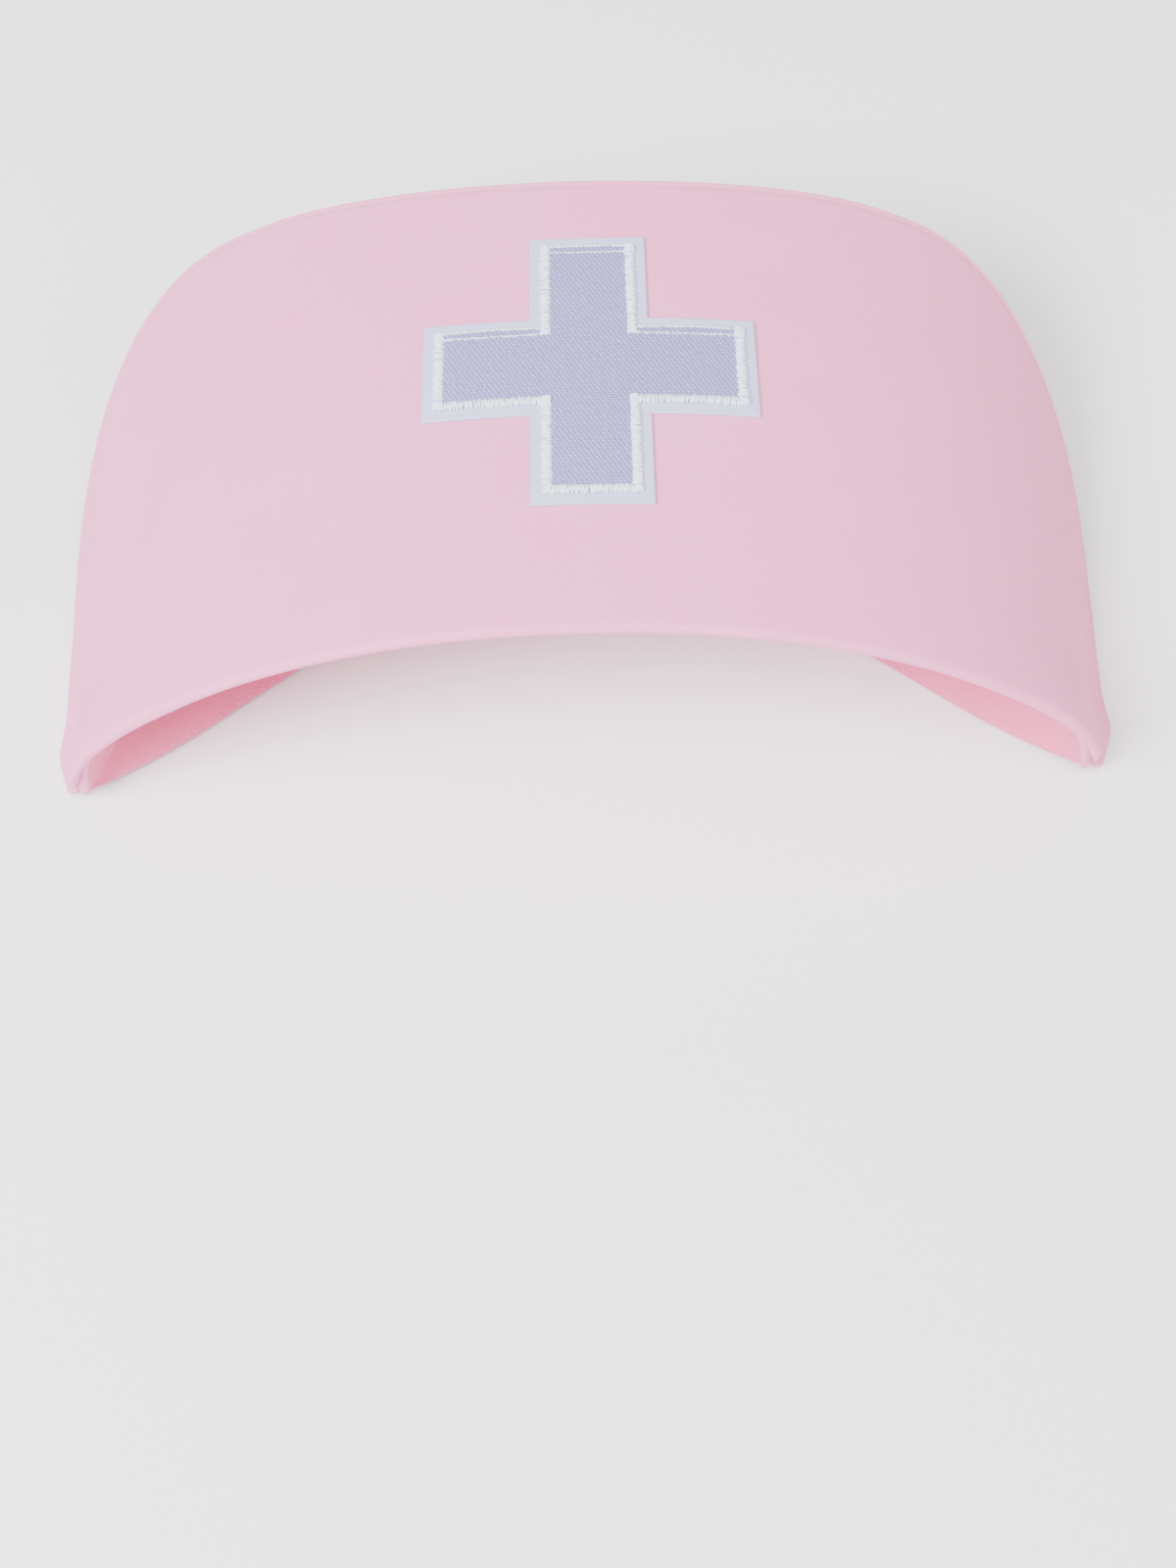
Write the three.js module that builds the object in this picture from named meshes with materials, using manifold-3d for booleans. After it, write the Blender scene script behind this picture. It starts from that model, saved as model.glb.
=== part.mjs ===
// A nurse cap: one folded, stiffened cotton sheet with a cross patch in front and one button behind.
// Lengths are millimetres and +Z is up. The cap lies on its back, as it does on a table.
import * as THREE from 'three';
import { mergeVertices } from 'three/addons/utils/BufferGeometryUtils.js';
import Module from 'manifold-3d';

const wasm = await Module();
wasm.setup();

// Driving sizes of the folded cap
const rimHalfWidth = 119;       // the cuff's widest line, above its lower corners
const foldHalfWidth = 111.5;    // the bottom fold, corner to corner, halved
const depth = 64;               // the bottom fold's reach ahead of the corners
const frontHeight = 124.4;      // the cuff's free edge above the corners, at the middle
const foldLift = 4.6;           // the bottom fold's middle above the corners
const cornerHalfWidth = 72;     // the crown's upper corners, where the wings start
const cornerHeight = 119.5;
const cloth = 1.4;              // two plies and a stiffener
const gap = 0.3;                // clearance between pieces that touch
const sideRoll = 3;             // how far the cuff's ends lean back
const cornerRound = 16;         // height over which the cuff's free edge rounds in to its lower corners
const cornerTuck = 7;           // how far it would round in, down at the corner itself

// Driving sizes of the wings and the back panel
const crossingAhead = 5;        // where the wings' lower edges cross, ahead of the corners
const crossingHeight = 79.5;
const underTip = 0.38;          // the under wing's end past the crossing, as a share of the over wing's
const tipTuck = 2.5;            // how far that end tucks in beneath
const panelHalfWidth = 64;      // the back panel at its fold
const panelTaper = 0.74;        // its lower end as a share of its fold
const panelLength = 38;
const panelDip = 4;             // the fold's middle below its ends

// Driving sizes of the cross patch
const patchSpan = 73;
const patchArm = 26.2;
const patchBottom = 33;         // above the corners, along the cuff
const patchOffset = 4;          // sewn on a little off the middle
const patchMargin = 2.3;        // bare felt outside the stitched border
const borderWidth = 2.6;
const feltThickness = 0.6;
const borderThickness = 0.7;
const fieldThickness = 0.5;

// Driving sizes of the button
const buttonDiameter = 12;
const buttonThickness = 2.2;
const buttonLift = 0.9;         // the thread holds it this far off the wing
const buttonRecess = 0.7;
const recessDiameter = 7.2;
const holeDiameter = 1.5;
const holePitch = 2.7;
const threadDiameter = 0.8;
const shankDiameter = 2.2;
const buttonRise = 12.3;        // above the crossing, along the wing
const slotLength = 15;
const slotWidth = 3.2;

// Steps along and across the sheets
const cuffColumns = 56;
const wallColumns = 56;
const wingColumns = 34;
const panelColumns = 20;

// Heights of the cuff's free edge, from the middle of the front to the corner
const rimTable = [
  { turn: 0.000, height: 1.000 },
  { turn: 0.300, height: 0.990 },
  { turn: 0.437, height: 0.970 },
  { turn: 0.517, height: 0.944 },
  { turn: 0.590, height: 0.897 },
  { turn: 0.667, height: 0.824 },
  { turn: 0.733, height: 0.742 },
  { turn: 0.800, height: 0.646 },
  { turn: 0.874, height: 0.536 },
  { turn: 0.944, height: 0.400 },
  { turn: 0.976, height: 0.270 },
  { turn: 1.000, height: 0.060 },
];

// A wing from its crease to its tip. Its upper edge lies in the wings' plane: side is a share of the
// crown corner's half width and rise a share of the way up the plane. Its lower edge starts at the cuff's
// corner: fall and drop are shares of that corner's place below the crossing and beneath the plane.
const wingTable = [
  { along: 0.00, side: 1.000, rise: 1.000, lowSide: 0.978, fall: 0.965, drop: 0.965 },
  { along: 0.10, side: 0.880, rise: 0.929, lowSide: 0.920, fall: 0.930, drop: 0.885 },
  { along: 0.22, side: 0.730, rise: 0.842, lowSide: 0.820, fall: 0.840, drop: 0.780 },
  { along: 0.36, side: 0.550, rise: 0.738, lowSide: 0.650, fall: 0.670, drop: 0.610 },
  { along: 0.50, side: 0.370, rise: 0.633, lowSide: 0.470, fall: 0.480, drop: 0.475 },
  { along: 0.64, side: 0.190, rise: 0.528, lowSide: 0.240, fall: 0.235, drop: 0.240 },
  { along: 0.78, side: -0.020, rise: 0.413, lowSide: 0.000, fall: 0.000, drop: 0.000 },
  { along: 0.88, side: -0.150, rise: 0.320, lowSide: -0.080, fall: -0.100, drop: 0.000 },
  { along: 0.95, side: -0.235, rise: 0.262, lowSide: -0.148, fall: -0.148, drop: 0.000 },
  { along: 1.00, side: -0.276, rise: 0.215, lowSide: -0.178, fall: -0.190, drop: 0.000 },
];

function smoothRow(table, key, column, share) {
  // A curve through the table's rows, with no overshoot between them
  const last = table.length - 1;
  let k = 0;
  while (k < last - 1 && share > table[k + 1][key]) k += 1;
  const slope = (n) => (table[n + 1][column] - table[n][column]) / (table[n + 1][key] - table[n][key]);
  const tangent = (n) => {
    if (n === 0) return slope(0);
    if (n === last) return slope(last - 1);
    const before = slope(n - 1);
    const after = slope(n);
    return before * after <= 0 ? 0 : (2 * before * after) / (before + after);
  };
  const span = table[k + 1][key] - table[k][key];
  const t = Math.min(1, Math.max(0, (share - table[k][key]) / span));
  const from = table[k][column] * (1 + 2 * t) * (1 - t) ** 2 + tangent(k) * span * t * (1 - t) ** 2;
  const to = table[k + 1][column] * t * t * (3 - 2 * t) - tangent(k + 1) * span * t * t * (1 - t);
  return from + to;
}

// A point of the cap while it stands upright on its bottom fold: side, ahead of the corners, up
const at = (side, ahead, up) => new THREE.Vector3(side, -ahead, up);
const mix = (a, b, t) => a.clone().lerp(b, t);
const smoothStep = (t) => {
  const c = Math.min(1, Math.max(0, t));
  return c * c * (3 - 2 * c);
};

// The cuff's middle surface: straight lines from the bottom fold to the free edge
const foldSquareness = 2.1;
const rimSquareness = 2.3;
const power = (value, squareness) => Math.sign(value) * Math.abs(value) ** (2 / squareness);

function foldPoint(turn) {
  const angle = turn * Math.PI / 2;
  const ahead = power(Math.cos(angle), foldSquareness);
  return at(foldHalfWidth * power(Math.sin(angle), foldSquareness), depth * ahead, foldLift * ahead ** 3);
}

function rimPoint(turn) {
  const angle = turn * Math.PI / 2;
  const back = sideRoll * smoothStep((Math.abs(turn) - 0.7) / 0.3);
  const height = frontHeight * smoothRow(rimTable, 'turn', 'height', Math.abs(turn));
  const tuck = cornerTuck * (1 - smoothStep(height / cornerRound));
  return at(
    (rimHalfWidth - tuck) * power(Math.sin(angle), rimSquareness),
    depth * power(Math.cos(angle), rimSquareness) - back,
    height,
  );
}

function surfaceNormal(surface, a, b) {
  const e = 1e-3;
  const along = surface(Math.min(1, a + e), b).sub(surface(Math.max(0, a - e), b));
  const across = surface(a, Math.min(1, b + e)).sub(surface(a, Math.max(0, b - e)));
  return along.cross(across).normalize();
}

// The turn runs -1 to 1 along the cuff, and the columns crowd a little towards the corners
const turnOf = (a) => {
  const t = 2 * a - 1;
  return t * (1.25 - 0.25 * t * t);
};
const cuffSheet = (a, b) => mix(foldPoint(turnOf(a)), rimPoint(turnOf(a)), b);
const cuffOutward = (a, b) => surfaceNormal(cuffSheet, a, b);

// A closed body from two grids of points, one on each side of a sheet
function bodyBetween(outer, inner, columns, rows) {
  const position = [];
  const index = [];
  const stride = rows + 1;
  const count = (columns + 1) * stride;
  for (const grid of [outer, inner]) {
    for (let i = 0; i <= columns; i += 1) {
      for (let j = 0; j <= rows; j += 1) position.push(...grid(i, j).toArray());
    }
  }
  const quad = (a, b, c, d) => index.push(a, b, c, a, c, d);
  for (let i = 0; i < columns; i += 1) {
    for (let j = 0; j < rows; j += 1) {
      const a = i * stride + j;
      const b = a + stride;
      quad(a, b, b + 1, a + 1);
      quad(count + a, count + a + 1, count + b + 1, count + b);
    }
  }
  for (let i = 0; i < columns; i += 1) {
    const low = i * stride;
    const high = low + rows;
    quad(low, count + low, count + low + stride, low + stride);
    quad(high, high + stride, count + high + stride, count + high);
  }
  for (let j = 0; j < rows; j += 1) {
    const end = columns * stride + j;
    quad(j, j + 1, count + j + 1, count + j);
    quad(end, count + end, count + end + 1, end + 1);
  }
  const geometry = new THREE.BufferGeometry();
  geometry.setAttribute('position', new THREE.Float32BufferAttribute(position, 3));
  geometry.setIndex(index);
  return facingOut(geometry);
}

function facingOut(geometry) {
  const p = geometry.getAttribute('position');
  const index = geometry.getIndex();
  const corner = (k) => new THREE.Vector3().fromBufferAttribute(p, index.getX(k));
  let volume = 0;
  for (let k = 0; k < index.count; k += 3) volume += corner(k).dot(corner(k + 1).cross(corner(k + 2)));
  if (volume < 0) {
    const turned = [];
    for (let k = 0; k < index.count; k += 3) {
      turned.push(index.getX(k), index.getX(k + 2), index.getX(k + 1));
    }
    geometry.setIndex(turned);
  }
  return geometry;
}

// A sheet of the given thickness about a middle surface given by a grid of points
function clothFrom(points, thickness) {
  const columns = points.length - 1;
  const rows = points[0].length - 1;
  const pick = (i, j) => points[Math.min(columns, Math.max(0, i))][Math.min(rows, Math.max(0, j))];
  const normal = (i, j) => {
    const along = pick(i + 1, j).clone().sub(pick(i - 1, j));
    const across = pick(i, j + 1).clone().sub(pick(i, j - 1));
    return along.cross(across).normalize();
  };
  const side = (sign) => (i, j) => pick(i, j).clone().addScaledVector(normal(i, j), sign * thickness / 2);
  return bodyBetween(side(1), side(-1), columns, rows);
}

function gridOf(columns, rowShares, point) {
  const grid = [];
  for (let i = 0; i <= columns; i += 1) grid.push(rowShares.map((b) => point(i / columns, b)));
  return grid;
}

// The cuff: its bottom rolls under the crown wall, and its outer sheet rises to the free edge
const rollRadius = (cloth + gap) / 2;
const armHeight = 1.5;
const cuffRows = [0.04, 0.12, 0.24, 0.38, 0.52, 0.66, 0.8, 0.91, 1];

function foldFrame(a) {
  const outward = cuffOutward(a, 0);
  const up = cuffSheet(a, 1).sub(cuffSheet(a, 0)).normalize();
  const centre = cuffSheet(a, 0).addScaledVector(outward, -rollRadius);
  return { outward, up, centre };
}

function cuffColumn(a) {
  const { outward, up, centre } = foldFrame(a);
  const column = [centre.clone().addScaledVector(outward, -rollRadius).addScaledVector(up, armHeight)];
  for (let degrees = 180; degrees >= 0; degrees -= 30) {
    const angle = THREE.MathUtils.degToRad(degrees);
    column.push(centre.clone()
      .addScaledVector(outward, rollRadius * Math.cos(angle))
      .addScaledVector(up, -rollRadius * Math.sin(angle)));
  }
  for (const b of cuffRows) column.push(cuffSheet(a, b));
  return column;
}

function makeCuff() {
  const grid = [];
  for (let i = 0; i <= cuffColumns; i += 1) grid.push(cuffColumn(i / cuffColumns));
  return clothFrom(grid, cloth);
}

// The wings' plane runs from the lower edges' crossing up to the crown's corners
const cornerAhead = depth * (1 - (cornerHalfWidth / rimHalfWidth) ** rimSquareness) ** (1 / rimSquareness);
const layer = cloth + gap;
const wingCorner = at(0, cornerAhead - 2.6 * layer, cornerHeight);
const crossing = at(0, crossingAhead, crossingHeight);
const wingRise = wingCorner.clone().sub(crossing);
const wingLength = wingRise.length();
const wingUp = wingRise.clone().normalize();
const wingOut = new THREE.Vector3(1, 0, 0).cross(wingUp).normalize().negate();
const inWing = (side, rise, out) => crossing.clone()
  .addScaledVector(wingUp, rise)
  .addScaledVector(wingOut, out)
  .add(new THREE.Vector3(side, 0, 0));

// The crown wall: from inside the bottom fold up to the fold of the back panel, which passes beneath
// both wings, so the wall's top lies three layers under them between the corners
const cornerTurn = 1 - panelHalfWidth / cornerHalfWidth;
const wallTop = (turn) => {
  const share = Math.abs(turn);
  const side = Math.sign(turn) * cornerHalfWidth * Math.min(1, share * 1.06);
  const dip = panelDip * (1 - smoothStep(share));
  const height = cornerHeight - dip - layer / 2;
  const rise = (height - crossingHeight) / wingUp.z;
  const beneath = layer * (1.25 + 2.05 * smoothStep((1.02 - share) / cornerTurn));
  return inWing(side, rise, -beneath);
};

function wallPoint(a, b) {
  const edge = 0.012;
  const share = edge + (1 - 2 * edge) * a;
  const { outward, up, centre } = foldFrame(share);
  const start = centre.clone().addScaledVector(outward, -rollRadius).addScaledVector(up, armHeight + 2 * gap);
  const top = wallTop(turnOf(share));
  const straight = mix(start, top, b);
  // Low down it keeps close to the cuff, and higher up it draws away to the straight fold
  const hugged = cuffSheet(share, b).addScaledVector(cuffOutward(share, b), -1.1 * layer);
  const hug = (1 - b) ** 2 * b * 2.2;
  return mix(straight, hugged, Math.min(1, hug));
}

const makeWall = () => clothFrom(gridOf(wallColumns, [0, 0.08, 0.2, 0.35, 0.5, 0.65, 0.8, 0.92, 1], wallPoint), cloth);

// A wing's middle surface: straight lines from its upper edge to its lower edge
const cornerFall = crossing.clone().negate().dot(wingUp);
const cornerDrop = crossing.clone().negate().dot(wingOut);
function wingPoint(hand, a, b) {
  const row = (column) => smoothRow(wingTable, 'along', column, a);
  const under = hand < 0 ? layer * smoothStep(a / 0.6) + tipTuck * smoothStep((a - 0.45) / 0.25) : 0;
  const upper = inWing(row('side') * cornerHalfWidth, row('rise') * wingLength, 0);
  const lower = inWing(row('lowSide') * foldHalfWidth, row('fall') * cornerFall, row('drop') * cornerDrop);
  const point = mix(lower, upper, b).addScaledVector(wingOut, -under);
  if (hand < 0 && point.x < 0) point.x *= underTip;
  point.x *= hand;
  return point;
}

const wingRows = [0, 0.06, 0.18, 0.34, 0.5, 0.66, 0.82, 0.94, 1];
const makeWing = (hand) => clothFrom(gridOf(wingColumns, wingRows, (a, b) => wingPoint(hand, a, b)), cloth);

// How far the over wing dips beneath the wings' plane at a place given across and up that plane
function wingDip(side, rise) {
  let low = 0;
  let high = 1;
  let dip = 0;
  for (let n = 0; n < 30; n += 1) {
    const a = (low + high) / 2;
    const place = (b) => wingPoint(1, a, b).sub(crossing);
    const [foot, head] = [place(0), place(1)];
    const [from, to] = [foot.dot(wingUp), head.dot(wingUp)];
    const b = Math.min(1, (rise - from) / (to - from));
    dip = place(b).dot(wingOut);
    if (place(b).x > Math.abs(side)) low = a;
    else high = a;
  }
  return dip;
}

// The back panel: over the wall's top and down beneath the wings, whose shape it takes
function makePanel() {
  const bend = Math.PI - Math.acos(wingUp.z);
  const rows = [0, 0.25, 0.5, 0.75, 1];
  const lengths = [0.12, 0.3, 0.5, 0.7, 0.86, 1];
  const grid = [];
  for (let i = 0; i <= panelColumns; i += 1) {
    const across = 2 * i / panelColumns - 1;
    const top = wallTop(across * panelHalfWidth / cornerHalfWidth);
    const centre = top.clone().add(at(0, -rollRadius, 2.5 * gap));
    const column = rows.map((r) => centre.clone().add(
      at(0, rollRadius * Math.cos(r * bend), rollRadius * Math.sin(r * bend)),
    ));
    const start = column[column.length - 1];
    for (const length of lengths) {
      const narrow = (panelTaper - 1) * length * across * panelHalfWidth;
      const place = start.clone().addScaledVector(wingUp, -length * panelLength).add(at(narrow, 0, 0));
      const rise = place.clone().sub(crossing).dot(wingUp);
      const dip = wingDip(place.x, rise) * smoothStep(length / 0.3) - tipTuck * smoothStep(length / 0.6);
      place.addScaledVector(wingOut, dip);
      column.push(place);
    }
    grid.push(column);
  }
  return clothFrom(grid, cloth);
}

// Booleans
function solidOf(geometry) {
  const bare = geometry.clone();
  for (const name of Object.keys(bare.attributes)) {
    if (name !== 'position') bare.deleteAttribute(name);
  }
  const merged = mergeVertices(bare, 1e-4);
  const triVerts = new Uint32Array(merged.getIndex().array);
  const vertProperties = new Float32Array(merged.getAttribute('position').array);
  return new wasm.Manifold(new wasm.Mesh({ numProp: 3, vertProperties, triVerts }));
}

function geometryOf(solid) {
  const mesh = solid.getMesh();
  const geometry = new THREE.BufferGeometry();
  geometry.setAttribute('position', new THREE.Float32BufferAttribute(mesh.vertProperties, 3));
  geometry.setIndex(Array.from(mesh.triVerts));
  return geometry;
}

// The button's own frame: x across the back, y up the wing, z out of it
const buttonFrame = new THREE.Matrix4().makeBasis(new THREE.Vector3(-1, 0, 0), wingUp, wingOut);
buttonFrame.setPosition(inWing(0, buttonRise, 0));
const buttonSeat = cloth / 2 + buttonLift;

function rod(radius, length, sides, x, y, z) {
  const geometry = new THREE.CylinderGeometry(radius, radius, length, sides);
  geometry.rotateX(Math.PI / 2);
  geometry.translate(x, y, z + length / 2);
  return geometry;
}

function cutButtonhole(geometry) {
  const slot = new THREE.Shape();
  slot.moveTo(-slotLength / 2, 0);
  slot.quadraticCurveTo(0, -slotWidth, slotLength / 2, 0);
  slot.quadraticCurveTo(0, slotWidth, -slotLength / 2, 0);
  const cutter = new THREE.ExtrudeGeometry(slot, { depth: 4 * cloth, bevelEnabled: false, curveSegments: 8 });
  cutter.translate(0, 0, -2 * cloth);
  cutter.applyMatrix4(buttonFrame);
  return geometryOf(solidOf(geometry).subtract(solidOf(cutter)));
}

const holePlaces = [-1, 1].flatMap((x) => [-1, 1].map((y) => [x * holePitch / 2, y * holePitch / 2]));

function makeButton() {
  const radius = buttonDiameter / 2;
  const recess = recessDiameter / 2;
  const floor = buttonThickness - buttonRecess;
  const profile = [
    new THREE.Vector2(0, 0),
    new THREE.Vector2(0.72 * radius, 0),
    new THREE.Vector2(0.95 * radius, 0.3 * buttonThickness),
    new THREE.Vector2(radius, 0.62 * buttonThickness),
    new THREE.Vector2(0.94 * radius, buttonThickness),
    new THREE.Vector2(1.18 * recess, buttonThickness),
    new THREE.Vector2(0.86 * recess, floor),
    new THREE.Vector2(0, floor),
  ];
  const disc = new THREE.LatheGeometry(profile, 36);
  disc.rotateX(Math.PI / 2);
  disc.translate(0, 0, buttonSeat);
  let solid = solidOf(facingOut(mergedPositions(disc)));
  for (const [x, y] of holePlaces) {
    solid = solid.subtract(solidOf(rod(holeDiameter / 2, 2 * buttonThickness, 12, x, y, 0)));
  }
  return geometryOf(solid).applyMatrix4(buttonFrame);
}

function mergedPositions(geometry) {
  const bare = geometry.clone();
  bare.deleteAttribute('normal');
  bare.deleteAttribute('uv');
  return mergeVertices(bare, 1e-4);
}

// Thread: a leg in each hole, a stitch across each pair, and a shank through the buttonhole
function makeThread() {
  const radius = threadDiameter / 2;
  const legBottom = cloth / 2 + gap;
  const legTop = buttonSeat + buttonThickness - buttonRecess + gap + radius;
  const shankBottom = -layer - tipTuck + cloth / 2 + gap;
  let solid = solidOf(rod(shankDiameter / 2, legBottom + gap - shankBottom, 12, 0, 0, shankBottom));
  const cover = rod(holePitch * 0.72 + radius, buttonLift - 2 * gap, 16, 0, 0, legBottom);
  solid = solid.add(solidOf(cover));
  for (const [x, y] of holePlaces) {
    solid = solid.add(solidOf(rod(radius, legTop - legBottom, 8, x, y, legBottom)));
  }
  for (const y of [-holePitch / 2, holePitch / 2]) {
    const bar = new THREE.CylinderGeometry(radius, radius, holePitch + threadDiameter, 8);
    bar.rotateZ(Math.PI / 2);
    bar.translate(0, y, legTop);
    solid = solid.add(solidOf(bar));
  }
  return geometryOf(solid).applyMatrix4(buttonFrame);
}

// The cross patch follows the cuff's outer face
function onCuff(side, up, lift) {
  let low = 0;
  let high = 1;
  let b = 0.5;
  for (let n = 0; n < 40; n += 1) {
    const a = (low + high) / 2;
    b = (up - cuffSheet(a, 0).z) / (cuffSheet(a, 1).z - cuffSheet(a, 0).z);
    if (cuffSheet(a, b).x < side) low = a;
    else high = a;
  }
  return cuffSheet(low, b).addScaledVector(cuffOutward(low, b), lift);
}

// A plate over the cells of a grid that a test keeps, bent to the cuff
function plateOnCuff(lines, keep, bottom, thickness) {
  const count = lines.length - 1;
  const kept = (i, j) => i >= 0 && j >= 0 && i < count && j < count
    && keep((lines[i] + lines[i + 1]) / 2, (lines[j] + lines[j + 1]) / 2);
  const middle = patchBottom + patchSpan / 2;
  const point = (i, j, lift) => onCuff(lines[i] + patchOffset, lines[j] + middle, lift).toArray();
  const position = [];
  const quad = (a, b, c, d) => position.push(...a, ...b, ...c, ...a, ...c, ...d);
  const top = bottom + thickness;
  for (let i = 0; i < count; i += 1) {
    for (let j = 0; j < count; j += 1) {
      if (kept(i, j)) {
        const ring = [[i, j], [i + 1, j], [i + 1, j + 1], [i, j + 1]];
        const beyond = [[i, j - 1], [i + 1, j], [i, j + 1], [i - 1, j]];
        quad(...ring.map(([p, q]) => point(p, q, top)));
        quad(...[...ring].reverse().map(([p, q]) => point(p, q, bottom)));
        ring.forEach(([p, q], k) => {
          const [r, s] = ring[(k + 1) % 4];
          if (!kept(...beyond[k])) {
            quad(point(p, q, bottom), point(r, s, bottom), point(r, s, top), point(p, q, top));
          }
        });
      }
    }
  }
  const geometry = new THREE.BufferGeometry();
  geometry.setAttribute('position', new THREE.Float32BufferAttribute(position, 3));
  return facingOut(mergeVertices(geometry, 1e-4));
}

const insideCross = (inset) => (p, q) => {
  const span = patchSpan / 2 - inset;
  const arm = patchArm / 2 - inset;
  const [x, y] = [Math.abs(p), Math.abs(q)];
  return (x < span && y < arm) || (x < arm && y < span);
};

// Grid lines through every edge of a cross or of the ring round it, with steps between them
function crossLines(insets) {
  const edges = insets.flatMap((inset) => [patchArm / 2 - inset, patchSpan / 2 - inset]);
  const sorted = [...new Set([...edges, ...edges.map((e) => -e)])].sort((a, b) => a - b);
  const lines = [sorted[0]];
  for (const edge of sorted.slice(1)) {
    const from = lines[lines.length - 1];
    const steps = Math.max(1, Math.round((edge - from) / 7));
    for (let n = 1; n <= steps; n += 1) lines.push(from + (edge - from) * n / steps);
  }
  return lines;
}

const borderInset = patchMargin;
const fieldInset = patchMargin + borderWidth + gap;
const feltBottom = cloth / 2 + gap;
const trimBottom = feltBottom + feltThickness + gap;
const makeFelt = () => plateOnCuff(crossLines([0]), insideCross(0), feltBottom, feltThickness);
const makeBorder = () => {
  const outside = insideCross(borderInset);
  const within = insideCross(borderInset + borderWidth);
  const ring = (p, q) => outside(p, q) && !within(p, q);
  return plateOnCuff(crossLines([borderInset, borderInset + borderWidth]), ring, trimBottom, borderThickness);
};
const makeField = () => plateOnCuff(crossLines([fieldInset]), insideCross(fieldInset), trimBottom, fieldThickness);

// Materials
const pinkCotton = new THREE.MeshStandardMaterial({ color: 0xf3c3cd, roughness: 0.92, metalness: 0 });
const paleFelt = new THREE.MeshStandardMaterial({ color: 0xe9eef6, roughness: 0.95, metalness: 0 });
const whiteThread = new THREE.MeshStandardMaterial({ color: 0xf6f6fa, roughness: 0.6, metalness: 0 });
const lavenderTwill = new THREE.MeshStandardMaterial({ color: 0xb4abdc, roughness: 0.85, metalness: 0 });
const pearlPlastic = new THREE.MeshStandardMaterial({ color: 0xf0dfe3, roughness: 0.25, metalness: 0 });

const upright = new THREE.Group();
function addPiece(name, geometry, material) {
  const mesh = new THREE.Mesh(geometry, material);
  mesh.name = name;
  upright.add(mesh);
}

addPiece('cuff', makeCuff(), pinkCotton);
addPiece('crown_wall', makeWall(), pinkCotton);
addPiece('crown_tongue', makePanel(), pinkCotton);
addPiece('wing_over', cutButtonhole(makeWing(1)), pinkCotton);
addPiece('wing_under', makeWing(-1), pinkCotton);
addPiece('cross_backing', makeFelt(), paleFelt);
addPiece('cross_border', makeBorder(), whiteThread);
addPiece('cross_field', makeField(), lavenderTwill);
addPiece('button', makeButton(), pearlPlastic);
addPiece('button_thread', makeThread(), whiteThread);

// At rest the cap lies back on the ends of the cuff and on the button: the lean that levels them
const cornersOf = (name) => {
  const p = upright.getObjectByName(name).geometry.getAttribute('position');
  return Array.from({ length: p.count }, (_, k) => new THREE.Vector3().fromBufferAttribute(p, k));
};
const lowest = (points, lean) => Math.min(...points.map((p) => p.z * Math.cos(lean) - p.y * Math.sin(lean)));

function restLean() {
  const ends = cornersOf('cuff').filter((p) => p.z < frontHeight / 2);
  const back = [...cornersOf('button'), ...cornersOf('wing_over')];
  let low = THREE.MathUtils.degToRad(75);
  let high = THREE.MathUtils.degToRad(140);
  for (let n = 0; n < 50; n += 1) {
    const lean = (low + high) / 2;
    if (lowest(ends, lean) > lowest(back, lean)) high = lean;
    else low = lean;
  }
  return low;
}

const cap = new THREE.Group();
cap.add(upright);
upright.rotation.x = -restLean();
const box = new THREE.Box3().setFromObject(cap, true);
upright.position.set(-(box.min.x + box.max.x) / 2, -(box.min.y + box.max.y) / 2, -box.min.z);

export default cap;
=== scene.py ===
"""A nurse cap of folded, stiffened pink cotton, dressed over its solid model."""
import math
import random

import bpy
import numpy as np
from mathutils import Matrix, Vector


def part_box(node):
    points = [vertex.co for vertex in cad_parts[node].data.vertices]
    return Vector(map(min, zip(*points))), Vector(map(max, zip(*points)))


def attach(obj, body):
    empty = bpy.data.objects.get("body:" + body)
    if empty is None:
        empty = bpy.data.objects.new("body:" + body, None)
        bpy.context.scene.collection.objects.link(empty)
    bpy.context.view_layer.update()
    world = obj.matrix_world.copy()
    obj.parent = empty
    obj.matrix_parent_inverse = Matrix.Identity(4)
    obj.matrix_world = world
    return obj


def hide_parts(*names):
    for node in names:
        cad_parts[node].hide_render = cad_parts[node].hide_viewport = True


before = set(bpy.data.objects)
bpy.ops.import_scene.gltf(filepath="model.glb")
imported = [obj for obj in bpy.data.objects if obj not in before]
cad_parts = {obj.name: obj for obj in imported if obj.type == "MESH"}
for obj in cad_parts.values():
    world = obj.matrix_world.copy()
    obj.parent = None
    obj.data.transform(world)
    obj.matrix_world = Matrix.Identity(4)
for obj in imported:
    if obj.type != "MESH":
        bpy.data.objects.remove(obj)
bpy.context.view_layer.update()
random.seed(7)

# Driving sizes in millimetres, as in the solid model
RIM_HALF_WIDTH = 119.0
FOLD_HALF_WIDTH = 111.5
DEPTH = 64.0
FRONT_HEIGHT = 124.4
FOLD_LIFT = 4.6
CORNER_HALF_WIDTH = 72.0
CORNER_HEIGHT = 119.5
CLOTH = 1.4
GAP = 0.3
SIDE_ROLL = 3.0
CORNER_ROUND = 16.0
CORNER_TUCK = 7.0
CROSSING_AHEAD = 5.0
CROSSING_HEIGHT = 79.5
UNDER_TIP = 0.38
TIP_TUCK = 2.5
PANEL_HALF_WIDTH = 64.0
PANEL_TAPER = 0.74
PANEL_LENGTH = 38.0
PANEL_DIP = 4.0
PATCH_SPAN = 73.0
PATCH_ARM = 26.2
PATCH_BOTTOM = 33.0
PATCH_OFFSET = 4.0
PATCH_MARGIN = 2.3
BORDER_WIDTH = 2.6
FELT_THICKNESS = 0.6
BUTTON_DIAMETER = 12.0
BUTTON_THICKNESS = 2.2
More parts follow.
